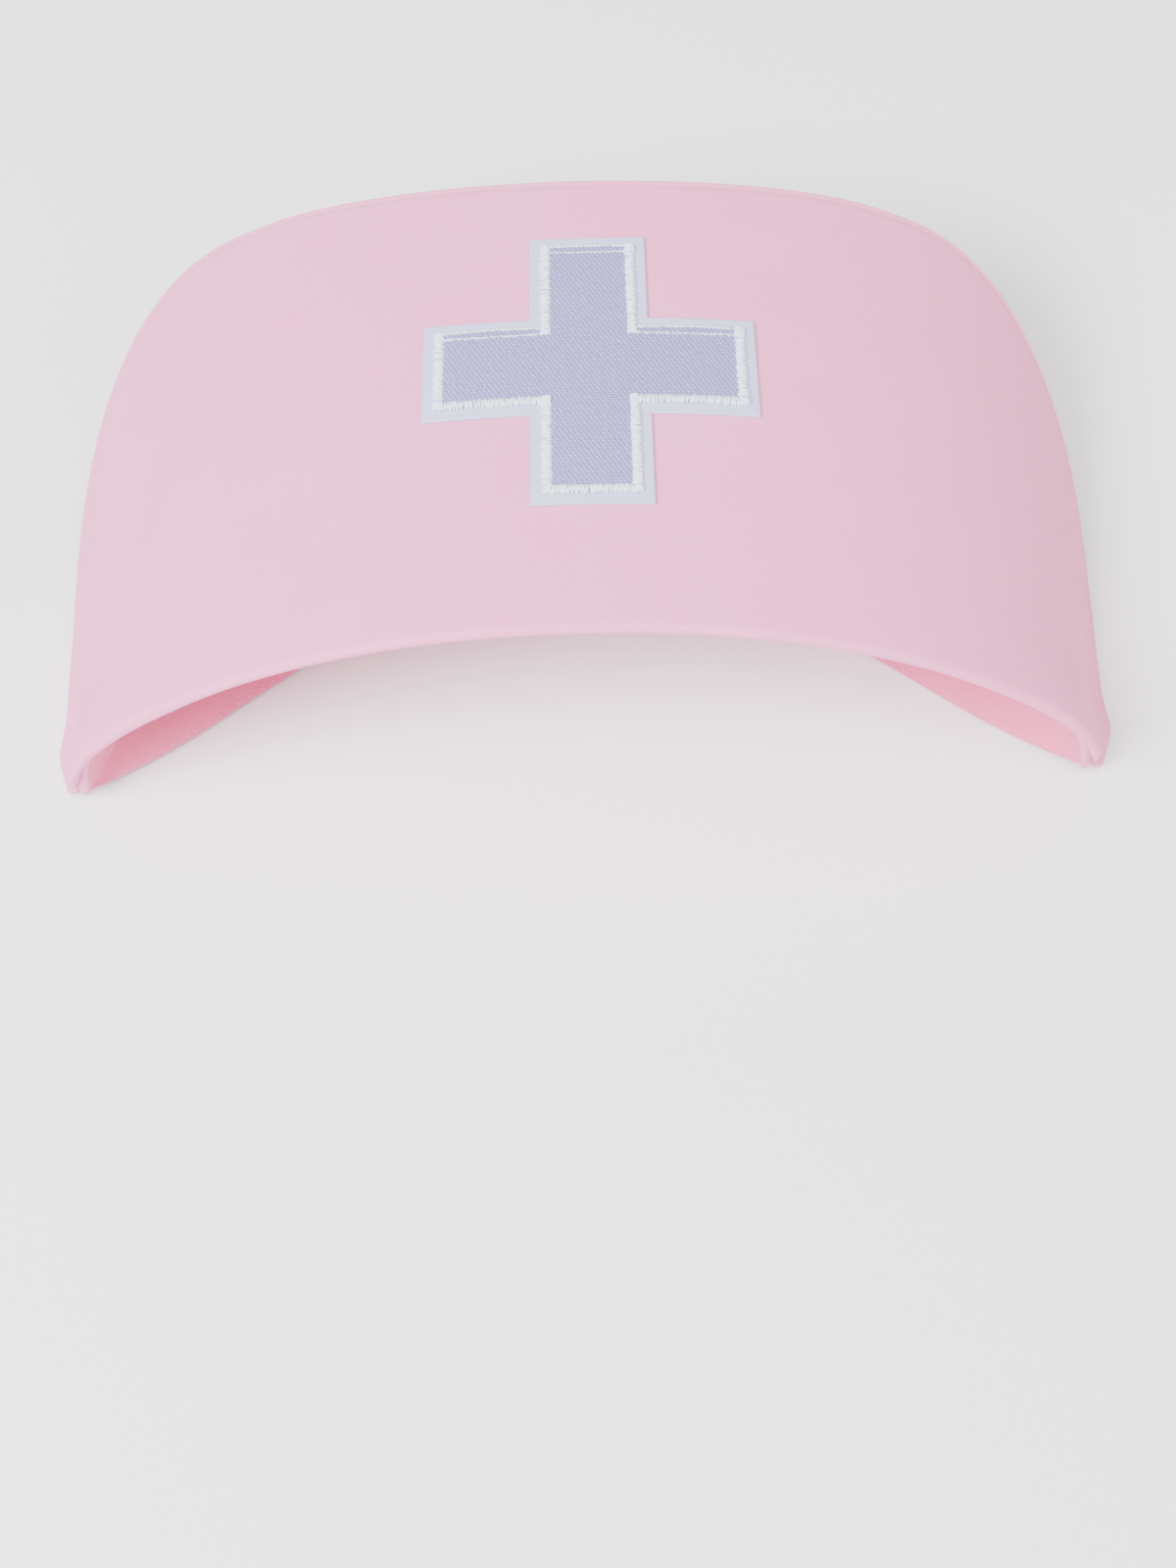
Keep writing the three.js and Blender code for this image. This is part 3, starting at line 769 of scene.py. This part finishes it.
WING_COLUMNS = crowded(90, 110, start=False)
WALL_ROWS = crowded(70, 115)
CUFF_ROWS = crowded(80, 110, start=False)[::-1]
ROLL_START = math.radians(12)
ROLL_OPENING = math.radians(60)
ROLL_SHARES = np.linspace(0, 1, 13)
TONGUE_BENDS = np.linspace(0, 1, 9)
TONGUE_ROWS = crowded(26, PANEL_LENGTH, start=False)[1:]


def cuff_rows(turns):
    """Rows of the cuff from its free edge down to the fold, round the roll and up inside."""
    outward, up, _ = fold_frame(turns)
    radius = roll_radius(turns)[:, None]
    centre = fold_point(turns) - outward * radius
    rows = []
    for b in CUFF_ROWS:
        rows.append(cuff_point(turns, np.full_like(turns, b)) + corner_shift(turns, b, OUTER_DRAW))
    opened = toward_corner(turns, CLOSING_TURN)[:, None]
    for share in ROLL_SHARES:
        angle = ROLL_START + share * (math.pi - ROLL_START - opened * ROLL_OPENING)
        shift = corner_shift(turns, 0, OUTER_DRAW + (1 - OUTER_DRAW) * share)
        rows.append(centre + shift + (outward * np.cos(angle) - up * np.sin(angle)) * radius)
    rows.append(rows[-1] + up * ARM_HEIGHT * 0.6 * (1 - 0.8 * opened))
    return rows


def wall_rows(turns):
    shares = [np.full_like(turns, b) for b in WALL_ROWS]
    return [corner_creases(turns, b, wall_point(turns * WALL_TURN, b)) for b in shares]


def tongue_rows(turns):
    """Rows of the back panel: over the wall's top and down beneath the wings."""
    across = np.clip(turns / TONGUE_TURN, -1, 1)
    bend = math.pi - math.acos(WING_UP[2])
    centre = wall_top(turns) + at(0, -ROLL_RADIUS, 2.5 * GAP)
    rows = []
    for angle in TONGUE_BENDS * bend:
        rows.append(centre + at(0, ROLL_RADIUS * math.cos(angle), ROLL_RADIUS * math.sin(angle)))
    start = rows[-1]
    for length in TONGUE_ROWS:
        narrow = (PANEL_TAPER - 1) * length * across * PANEL_HALF_WIDTH
        place = start - WING_UP * length * PANEL_LENGTH + at(narrow, 0, 0)
        rise = (place - CROSSING) @ WING_UP
        dip = wing_dip(place[..., 0], rise) * smooth_step(length / 0.3)
        dip = dip - TIP_TUCK * smooth_step(length / 0.6)
        rows.append(place + dip[..., None] * WING_OUT)
    return rows


def flat_places(points, anchor):
    """Each point's place on the flat cloth, in millimetres, from lengths along the grid."""
    line = lengths_along(points[:, anchor][None])[0]
    across = np.repeat((line - line[len(line) // 2])[:, None], points.shape[1], axis=1)
    along = lengths_along(points)
    return np.stack([across, along - along[:, anchor:anchor + 1]], axis=-1)


def cap_sheet():
    """The whole cap as one folded sheet: cuff, crown wall, back panel and both wings."""
    turns = turn_columns()
    wall = reach_crease(turns, np.stack(wall_rows(turns), axis=1))
    start, end = (np.stack(rows(turns), axis=1) for rows in (cuff_rows, tongue_rows))
    middle = np.concatenate([start, wall, end], axis=1)
    wall_start = start.shape[1]
    wall_end = wall_start + len(WALL_ROWS)
    grid_a, grid_b = np.meshgrid(WING_COLUMNS, WALL_ROWS, indexing="ij")
    blocks = []
    for hand, edge in ((-1, 0), (1, -1)):
        wing = wing_from_crease(hand, grid_a, grid_b)
        _, way, inward = crease_start(hand, WALL_ROWS)
        arc = crease_arc(wall[edge], way, wing[0], inward, ARC_ROWS)
        block = np.concatenate([np.stack(arc), wing])
        full = np.zeros((len(block), middle.shape[1], 3))
        full[:, wall_start:wall_end] = block
        blocks.append(full if hand > 0 else full[::-1])
    points = np.concatenate([blocks[0], middle, blocks[1]])
    side = len(blocks[0])
    valid = np.zeros(points.shape[:2], dtype=bool)
    valid[:, wall_start:wall_end] = True
    valid[side:side + len(turns), :wall_end] = True
    panel = np.flatnonzero(np.abs(turns) <= TONGUE_TURN + 1e-6) + side
    valid[panel, wall_end:] = True
    return points, valid, side, wall_start, wall_end


def fill_unused(points, valid):
    """Points off the sheet take a neighbour's place, so that lengths along the grid hold."""
    filled = points.copy()
    for line, inside in zip(filled, valid):
        used = np.flatnonzero(inside)
        line[:used[0]] = line[used[0]]
        line[used[-1] + 1:] = line[used[-1]]
    return filled


SEAM_INSET = 1.7


def seam_relief(distance, ripple):
    """A turned seam: the edge is a little fuller, and the stitch line draws it in."""
    full = 0.12 * ridge(distance, 0.8, 0.55)
    drawn = 0.20 * ridge(distance, SEAM_INSET, 0.40)
    return (full * (1 + ripple) - drawn * (1 - 0.6 * ripple)) * (distance > 0.1)


def make_cap():
    points, valid, side, wall_start, wall_end = cap_sheet()
    points = fill_unused(points, valid)
    distance = np.where(valid, edge_distance(points, valid), 0)
    uv = flat_places(points, wall_start)
    ripple = np.sin(uv[..., 0] * 2.3 + np.sin(uv[..., 0] * 0.31) * 2) * 0.5
    half = rounded(distance, CLOTH / 2)
    # The seam is full on the cuff, weaker along the wings' lower edges and faint elsewhere
    lower = slice(wall_start, wall_start + len(WALL_ROWS) // 2)
    strength = np.full(valid.shape, 0.1)
    strength[:, :wall_start] = 1.0
    strength[:side, lower] = strength[-side:, lower] = 0.4
    relief = strength * seam_relief(distance, ripple)
    half = np.where(half > 0, np.maximum(half + relief, 0.02), 0)
    # Painted shade: darker along the stitch line and at the sheet's very edges
    seam = strength * ridge(distance, SEAM_INSET, 0.32) + 0.8 * ridge(distance, 0, 0.22)
    # Painted shade on the head's side of wall and wings, a deeper pink, which begins softly at the
    # roll
    columns = np.arange(len(points))
    away = np.maximum(side - columns, columns - (len(points) - 1 - side))
    rising = smooth_step(np.arange(len(WALL_ROWS)) / 6)
    painted_shade = np.zeros(valid.shape)
    painted_shade[:, wall_start:wall_end] = np.maximum(rising, smooth_step(away / 16)[:, None])
    marks = {"seam": (seam, seam), "painted_shade": (np.zeros(valid.shape), painted_shade)}
    obj = sheet_mesh("cap_cloth", points, valid, COTTON, uv, half, marks)
    piece(obj, "pink_cotton", "cuff", "crown_wall", "crown_tongue", "wing_over", "wing_under")


# Threads
def strand_mesh(name, lines, radii, material, sides=6):
    """Thin rounded strands in one object, of as many points each."""
    lines = np.asarray(lines, dtype=float)
    count, length = lines.shape[:2]
    way = unit(np.gradient(lines, axis=1))
    side = unit(np.cross(way, np.array([0.31, 0.52, 0.79])))
    other = np.cross(way, side)
    radius = np.repeat(np.asarray(radii, dtype=float)[:, None], length, axis=1)
    radius[:, [0, -1]] *= 0.45
    angle = np.linspace(0, 2 * math.pi, sides, endpoint=False)[:, None]
    around = side[:, :, None] * np.cos(angle) + other[:, :, None] * np.sin(angle)
    vertices = (lines[:, :, None] + around * radius[:, :, None, None]).reshape(-1, 3)
    index = np.arange(count * length * sides).reshape(count, length, sides)
    turned_on = np.roll(index, -1, axis=2)
    quads = np.stack([index[:, :-1], turned_on[:, :-1], turned_on[:, 1:], index[:, 1:]], axis=-1)
    caps = index[:, 0, ::-1].tolist() + index[:, -1].tolist()
    return mesh_object(name, vertices, quads.reshape(-1, 4).tolist() + caps, material)


TOPSTITCH = {"pitch": 2.9, "share": 0.72, "lift": 0.16, "sag": 0.15}
PATCH_STITCH = {"pitch": 2.6, "share": 0.7, "lift": 0.14, "sag": 0.12}
PATCH_SEAM_HALF = 8.8


def running_stitch(path, normals, pitch, share, lift, sag):
    """Stitches that rise out of the cloth and dive back in, along a path on its surface."""
    length = lengths_along(path[None])[0]
    lines = []
    for start in np.arange(0.5 * pitch, length[-1] - pitch, pitch):
        marks = start + np.linspace(0, share * pitch, 6)
        line, out = (
            np.stack([np.interp(marks, length, column) for column in values.T], axis=1)
            for values in (path, normals)
        )
        arch = np.array([-sag, 0.6 * lift, lift, lift, 0.6 * lift, -sag])[:, None]
        lines.append(line + out * arch)
    return lines


def cuff_stitches():
    """Topstitching round the cuff's free edge, on its inner face."""
    turns = np.linspace(-1, 1, 900)
    rim, foot = rim_point(turns), fold_point(turns)
    share = 1 - SEAM_INSET / np.linalg.norm(rim - foot, axis=-1)
    keep = np.abs(turns) < 1 - SEAM_INSET / HALF_ROUND
    path = cuff_point(turns[keep], share[keep])
    out = -cuff_outward(turns[keep], share[keep])
    return running_stitch(path + out * (CLOTH / 2 - 0.14), out, **TOPSTITCH)


def patch_stitches():
    """The stitches of the cross's top arm, which show on the cuff's inner face."""
    half, top, low = PATCH_SEAM_HALF, PATCH_BOTTOM + PATCH_SPAN - 0.8, PATCH_MIDDLE
    lines = []
    for side, up in (
        (np.linspace(-half, half, 80), np.full(80, top)),
        (np.full(200, -half), np.linspace(top, low, 200)),
        (np.full(200, half), np.linspace(low, top, 200)),
    ):
        path = on_cuff(side + PATCH_OFFSET, up, -CLOTH / 2 - 0.02)
        out = unit(path - on_cuff(side + PATCH_OFFSET, up, 0))
        lines += running_stitch(path, out, **PATCH_STITCH)
    return lines


def loose_thread():
    """A thread end that hangs from the stitching inside the cuff."""
    t = np.linspace(0, 1, 6)
    side = PATCH_OFFSET + PATCH_SEAM_HALF - 5.0 * t
    up = PATCH_BOTTOM + PATCH_SPAN - 1.5 - 3.2 * np.sin(t * 1.5)
    return on_cuff(side, up, -CLOTH / 2 - 0.15 - 0.5 * np.sin(math.pi * t))


def wing_stitches():
    lines = []
    for hand in (-1, 1):
        a = np.linspace(0.01, 0.985, 240)
        low = wing_from_crease(hand, a, np.zeros_like(a))
        high = wing_from_crease(hand, a, np.ones_like(a))
        share = SEAM_INSET / np.linalg.norm(high - low, axis=-1)
        path = wing_from_crease(hand, a, share)
        along = np.gradient(path, axis=0)
        out = unit(np.cross(along, high - low)) * (-hand)
        for face in (-1, 1):
            surface = path + out * face * (CLOTH / 2 - 0.12)
            lines += running_stitch(surface, out * face, **TOPSTITCH)
    return lines


# The cross patch
def on_cuff(side, up, lift):
    """Places on the cuff's outer face, from a side and a height above the corners."""
    side, up, lift = np.broadcast_arrays(*(np.asarray(v, dtype=float) for v in (side, up, lift)))

    def share(turn):
        foot, head = fold_point(turn)[..., 2], rim_point(turn)[..., 2]
        return (up - foot) / (head - foot)

    whole = np.ones_like(side)
    turn = halved(-whole, whole, 36, lambda t: cuff_point(t, share(t))[..., 0] < side)
    return cuff_point(turn, share(turn)) + cuff_outward(turn, share(turn)) * lift[..., None]


PATCH_MIDDLE = PATCH_BOTTOM + PATCH_SPAN / 2
FELT_BOTTOM = CLOTH / 2 + 0.05
FELT_DEPTH = FELT_THICKNESS + 0.1
FELT_TOP = FELT_BOTTOM + FELT_DEPTH
TWILL_INSET = PATCH_MARGIN + 0.55
PLATE_STEP = 2.0
PLATE_EDGE_STEPS = [0.05, 0.15, 0.3, 0.5]
SATIN_PITCH = 0.34
SATIN_OVERRUN = 0.9
SATIN_RISE, SPLIT_RISE = 0.75, 0.35


def on_patch(p, q, lift):
    return on_cuff(np.asarray(p) + PATCH_OFFSET, np.asarray(q) + PATCH_MIDDLE, lift)


def cross_lines(inset):
    """Grid lines that crowd on both sides of a cross's edges."""
    arm, span = PATCH_ARM / 2 - inset, PATCH_SPAN / 2 - inset
    lines = {0.0, arm, span}
    for e in PLATE_EDGE_STEPS:
        lines |= {arm - e, arm + e, span - e}
    taken = sorted(lines)
    for value in np.arange(0, span, PLATE_STEP):
        if min(abs(value - t) for t in taken) > PLATE_STEP * 0.45:
            lines.add(float(value))
    return mirrored(np.array(sorted(v for v in lines if v >= 0)))


def cross_plate(name, inset, bottom, thickness, material):
    lines = cross_lines(inset)
    arm, span = PATCH_ARM / 2 - inset + 1e-6, PATCH_SPAN / 2 - inset + 1e-6
    p, q = np.meshgrid(lines, lines, indexing="ij")
    valid = (np.abs(p) <= arm) & (np.abs(q) <= span) | (np.abs(p) <= span) & (np.abs(q) <= arm)
    flat = np.stack([p, q, np.zeros_like(p)], axis=-1)
    distance = np.where(valid, edge_distance(flat, valid), 0)
    points = on_patch(p, q, bottom + thickness / 2)
    half = rounded(distance, thickness / 2)
    uv = np.stack([p, q], axis=-1)
    return sheet_mesh(name, points, valid, material, uv, half)


def cross_path(inset):
    """The cross's outline at an inset, anticlockwise from the top arm's right corner."""
    arm, span = PATCH_ARM / 2 - inset, PATCH_SPAN / 2 - inset
    quarter = [(arm, span), (-arm, span), (-arm, arm)]
    corners = []
    for c, s in ((1, 0), (0, 1), (-1, 0), (0, -1)):
        corners += [(x * c - y * s, x * s + y * c) for x, y in quarter]
    return np.array(corners)


def border_stitches():
    """A satin border over the cross's edge, of many short threads side by side."""
    corners = cross_path(PATCH_MARGIN + BORDER_WIDTH / 2)
    flat, lifts, radii = [], [], []
    t = np.linspace(0, 1, 6)
    for k, start in enumerate(corners):
        end = corners[(k + 1) % len(corners)]
        length = np.linalg.norm(end - start)
        way = (end - start) / length
        inward = np.array([-way[1], way[0]])
        open_seam = way[0] < -0.9
        for s in np.arange(-SATIN_OVERRUN, length + SATIN_OVERRUN, SATIN_PITCH):
            middle = start + way * (s + random.uniform(-0.1, 0.1))
            slant = random.uniform(-0.5, 0.5)
            width = BORDER_WIDTH / 2 * random.uniform(0.82, 1.16)
            spans = [(-width, width, SATIN_RISE)]
            if open_seam and 1.0 < s < length - 1.0:
                gap = 0.75 * math.sin(math.pi * s / length) ** 0.4 * random.uniform(0.8, 1.1)
                spans = [(-width, 0.1 - gap, SPLIT_RISE), (gap + 0.1, width, SPLIT_RISE)]
            for low, high, rise in spans:
                reach = low + (high - low) * t
                flat.append(middle + reach[:, None] * inward + (t[:, None] - 0.5) * slant * way)
                arch = rise * np.sin(math.pi * t) ** 0.6
                lifts.append(FELT_TOP + arch * random.uniform(0.75, 1.15))
                radii.append(random.uniform(0.15, 0.24))
    flat = np.array(flat)
    return on_patch(flat[..., 0], flat[..., 1], np.array(lifts)), radii


def make_patch():
    backing = cross_plate("patch_felt", 0.0, FELT_BOTTOM, FELT_DEPTH, FELT)
    piece(backing, "pale_felt", "cross_backing")
    field = cross_plate("patch_twill", TWILL_INSET, FELT_TOP - 0.05, 0.45, TWILL)
    piece(field, "lavender_twill", "cross_field")
    lines, radii = border_stitches()
    border = strand_mesh("patch_satin_border", lines, radii, WHITE_THREAD)
    piece(border, "white_thread", "cross_border")


# The button
def on_button(points):
    """Places in the button's own frame: across the back, up the wing, out of it."""
    points = np.asarray(points, dtype=float)
    axes = np.stack([-ACROSS, WING_UP, WING_OUT])
    return in_wing(0.0, BUTTON_RISE, 0.0) + points @ axes


BUTTON_SEAT = CLOTH / 2 + BUTTON_LIFT
HOLES = [(x * HOLE_PITCH / 2, y * HOLE_PITCH / 2) for x in (-1, 1) for y in (-1, 1)]
DISC_SIDES = 96
HOLE_SIDES = 24


def button_profile():
    """The button's outline from the middle of its back to the middle of its face."""
    radius, recess = BUTTON_DIAMETER / 2, RECESS_DIAMETER / 2
    top, floor = BUTTON_THICKNESS, BUTTON_THICKNESS - BUTTON_RECESS
    return [
        (0, 0), (0.5 * radius, 0), (0.72 * radius, 0.04), (0.86 * radius, 0.3),
        (0.95 * radius, 0.75), (0.99 * radius, 1.2), (radius, 1.5), (0.99 * radius, 1.8),
        (0.965 * radius, 2.02), (0.93 * radius, 0.98 * top), (0.88 * radius, top),
        (0.78 * radius, top), (1.12 * recess, 0.99 * top), (1.06 * recess, 0.965 * top),
        (recess, 0.9 * top), (0.93 * recess, floor + 0.16), (0.86 * recess, floor + 0.04),
        (0.75 * recess, floor), (0.4 * recess, floor), (0, floor),
    ]


def ring(radius, count, middle=(0, 0)):
    angles = [2 * math.pi * k / count for k in range(count)]
    return [(middle[0] + radius * math.cos(t), middle[1] + radius * math.sin(t)) for t in angles]


def make_button():
    """A turned disc with a recess and four holes."""
    sides = DISC_SIDES
    profile = button_profile()
    vertices = [(0, 0, profile[0][1])]
    for radius, height in profile[1:-1]:
        vertices += [(x, y, height) for x, y in ring(radius, sides)]
    vertices.append((0, 0, profile[-1][1]))
    faces = [(0, 1 + (k + 1) % sides, 1 + k) for k in range(sides)]
    last = 1 + (len(profile) - 3) * sides
    for a in range(1, last, sides):
        for k in range(sides):
            n = (k + 1) % sides
            faces.append((a + k, a + n, a + sides + n, a + sides + k))
    faces += [(last + k, last + (k + 1) % sides, len(vertices) - 1) for k in range(sides)]
    shaped = np.array(vertices) + np.array([0, 0, BUTTON_SEAT])
    # The recess is marked for a painted shade, darker than the rest of the button
    near = np.hypot(shaped[:, 0], shaped[:, 1]) < 0.99 * RECESS_DIAMETER / 2
    recessed = near & (shaped[:, 2] > BUTTON_SEAT + BUTTON_THICKNESS / 2)
    obj = mesh_object("button_disc", on_button(shaped), faces, PEARL, marks={"painted_shade": recessed})
    for middle in HOLES:
        drill(obj, middle)
    piece(obj, "pearl_plastic", "button")


def drill(obj, middle):
    """Cuts one thread hole through the disc."""
    sides = HOLE_SIDES
    around = ring(HOLE_DIAMETER / 2, sides, middle)
    vertices = []
    for level in (BUTTON_SEAT - 1, BUTTON_SEAT + BUTTON_THICKNESS + 1):
        vertices += [(p, q, level) for p, q in around]
    faces = [tuple(reversed(range(sides))), tuple(range(sides, 2 * sides))]
    faces += [(k, (k + 1) % sides, sides + (k + 1) % sides, sides + k) for k in range(sides)]
    cutter = mesh_object("drill", on_button(np.array(vertices)), faces, PEARL)
    modifier = obj.modifiers.new("hole", "BOOLEAN")
    modifier.object = cutter
    modifier.operation = "DIFFERENCE"
    modifier.solver = "EXACT"
    apply_modifiers(obj)
    bpy.data.objects.remove(cutter, do_unlink=True)


def apply_modifiers(obj):
    graph = bpy.context.evaluated_depsgraph_get()
    graph.update()
    mesh = bpy.data.meshes.new_from_object(obj.evaluated_get(graph))
    obj.modifiers.clear()
    obj.data = mesh


# Thread on the button: strands in each stitch and their gap, and threads in the shank
STITCH_STRANDS, STRAND_GAP = 5, 0.17
SHANK_THREADS, SHANK_RADIUS, SHANK_ANGLE = 14, 0.75, 2.4
BAR_STITCHES = 6


def button_strands(name, strands, sides=6):
    """Strands from places in the button's own frame, each with its radius."""
    lines = [on_button(np.stack(np.broadcast_arrays(x, y, z), axis=1)) for x, y, z, _ in strands]
    return strand_mesh(name, lines, [strand[3] for strand in strands], PALE_THREAD, sides)


def make_button_thread():
    """Two stitches across the button, with legs down its holes, and a shank."""
    strands = []
    top = BUTTON_SEAT + BUTTON_THICKNESS - BUTTON_RECESS + 0.15
    t = np.linspace(0, 1, 13)
    for y in (-HOLE_PITCH / 2, HOLE_PITCH / 2):
        for k in range(STITCH_STRANDS):
            aside = k - STITCH_STRANDS // 2
            arch = top + 0.32 * np.sin(math.pi * t) ** 0.5 - 0.03 * abs(aside)
            z = np.where((t < 0.05) | (t > 0.95), BUTTON_SEAT - 0.2, arch)
            along = y + aside * STRAND_GAP + 0.05 * np.sin(9 * t + k)
            strands.append(((t - 0.5) * (HOLE_PITCH + 0.2), along, z, 0.15))
    z = np.linspace(-LAYER - TIP_TUCK + CLOTH / 2, BUTTON_SEAT + 0.1, 13)
    for k in range(SHANK_THREADS):
        angle = SHANK_ANGLE * k + z * 0.2
        strands.append((SHANK_RADIUS * np.cos(angle), SHANK_RADIUS * np.sin(angle), z, 0.22))
    piece(button_strands("button_stitches", strands, 8), "white_thread", "button_thread")


def make_buttonhole():
    """Close stitches along both sides of the slit, and a bar across each end."""
    strands = []
    surface, half = CLOTH / 2, SLOT_LENGTH / 2 + 1.6
    t = np.linspace(0, 1, 7)
    for side in (-1, 1):
        for s in np.arange(-half, half, 0.3):
            x = s + random.uniform(-0.1, 0.1) + 0.15 * t
            z = surface - 0.05 + 0.2 * np.sin(math.pi * t) ** 0.7
            strands.append((x, side * (0.18 + 0.95 * t), z, random.uniform(0.12, 0.16)))
    for end in (-1, 1):
        for k in range(BAR_STITCHES):
            x = end * (half + 0.1 + 0.22 * k) + random.uniform(-0.05, 0.05)
            z = surface + 0.02 + 0.28 * np.sin(math.pi * t) ** 0.6
            strands.append((x, (t - 0.5) * 2.7, z, random.uniform(0.13, 0.17)))
    piece(button_strands("buttonhole_stitches", strands), "pink_cotton")


def make_topstitching():
    for name, lines, radius, material, slot in (
        ("cuff_topstitching", cuff_stitches(), 0.16, PALE_THREAD, "pink_cotton"),
        ("wing_topstitching", wing_stitches(), 0.14, PINK_THREAD, "pink_cotton"),
        ("patch_stitches", patch_stitches() + [loose_thread()], 0.15, PALE_THREAD, "white_thread"),
    ):
        piece(strand_mesh(name, lines, [radius] * len(lines), material), slot)


# The stage
FLOOR_HALF = 3.0
FLOOR_DROP = 0.0005
LIGHT_AIM = (0, 0, 0.03)
WORLD_LIGHT = 0.62


def make_stage():
    material, _, shader = nodes_of("pale_floor")
    set_inputs(shader, Base_Color=(0.95, 0.95, 0.95, 1), Roughness=0.9)
    mesh = bpy.data.meshes.new("floor")
    corners = [(x * FLOOR_HALF, y * FLOOR_HALF, 0) for x, y in ((-1, -1), (1, -1), (1, 1), (-1, 1))]
    mesh.from_pydata(corners, [], [(0, 1, 2, 3)])
    mesh.materials.append(material)
    floor = linked("floor", mesh)
    floor.location.z = -FLOOR_DROP


def area_light(name, place, size, power_w, colour=(1, 1, 1)):
    data = bpy.data.lights.new(name, "AREA")
    data.shape = "DISK"
    data.size = size
    data.energy = power_w
    data.color = colour
    obj = linked(name, data)
    obj.location = place
    way = Vector(LIGHT_AIM) - Vector(place)
    obj.rotation_euler = way.to_track_quat("-Z", "Y").to_euler()


def make_lights():
    world = bpy.data.worlds.new("studio")
    world.use_nodes = True
    set_inputs(world.node_tree.nodes["Background"], Color=(1, 1, 1, 1), Strength=WORLD_LIGHT)
    bpy.context.scene.world = world
    area_light("key", (-0.65, -0.45, 0.95), 0.7, 34, (0.94, 0.94, 1.0))
    area_light("front", (0.05, -0.35, 1.2), 0.8, 16)
    area_light("fill", (0.9, -0.3, 0.6), 0.8, 6, (1.0, 0.86, 0.78))


# The camera, at the photograph's angle to the cap
VIEW_ANGLE = math.radians(34.4)
VIEW_YAW = math.radians(0.74)
VIEW_ROLL = math.radians(-1.62)
VIEW_DISTANCE = 500.0
FOCAL_PIXELS = 2229.0
IMAGE_WIDTH, IMAGE_HEIGHT = 1200, 1600
AXIS_PIXEL = (588.0, 503.0)
SENSOR_WIDTH = 36.0
VIEW_TARGET = at(0, 30, 60)


def rotated(first, second, angle):
    """Two square directions, turned by an angle from the first towards the second."""
    c, s = math.cos(angle), math.sin(angle)
    return first * c + second * s, second * c - first * s


def make_camera():
    back, up = rotated(at(0, 1, 0), at(0, 0, 1), -VIEW_ANGLE)
    back, right = rotated(back, at(1, 0, 0), VIEW_YAW)
    right, up = rotated(right, up, VIEW_ROLL)
    place = placed(VIEW_TARGET + back * VIEW_DISTANCE)
    axes = np.stack([leant(right), leant(up), leant(back)], axis=1)
    data = bpy.data.cameras.new("camera")
    data.sensor_fit = "AUTO"
    data.sensor_width = SENSOR_WIDTH
    data.lens = FOCAL_PIXELS * SENSOR_WIDTH / IMAGE_HEIGHT
    data.shift_x = (IMAGE_WIDTH / 2 - AXIS_PIXEL[0]) / IMAGE_HEIGHT
    data.shift_y = (AXIS_PIXEL[1] - IMAGE_HEIGHT / 2) / IMAGE_HEIGHT
    data.clip_start = 0.01
    camera = linked("camera", data)
    rows = [list(axes[k]) + [float(place[k])] for k in range(3)]
    camera.matrix_world = Matrix(rows + [[0, 0, 0, 1]])
    bpy.context.scene.camera = camera


make_camera()
make_stage()
make_lights()
make_cap()
make_topstitching()
make_patch()
make_button()
make_button_thread()
make_buttonhole()
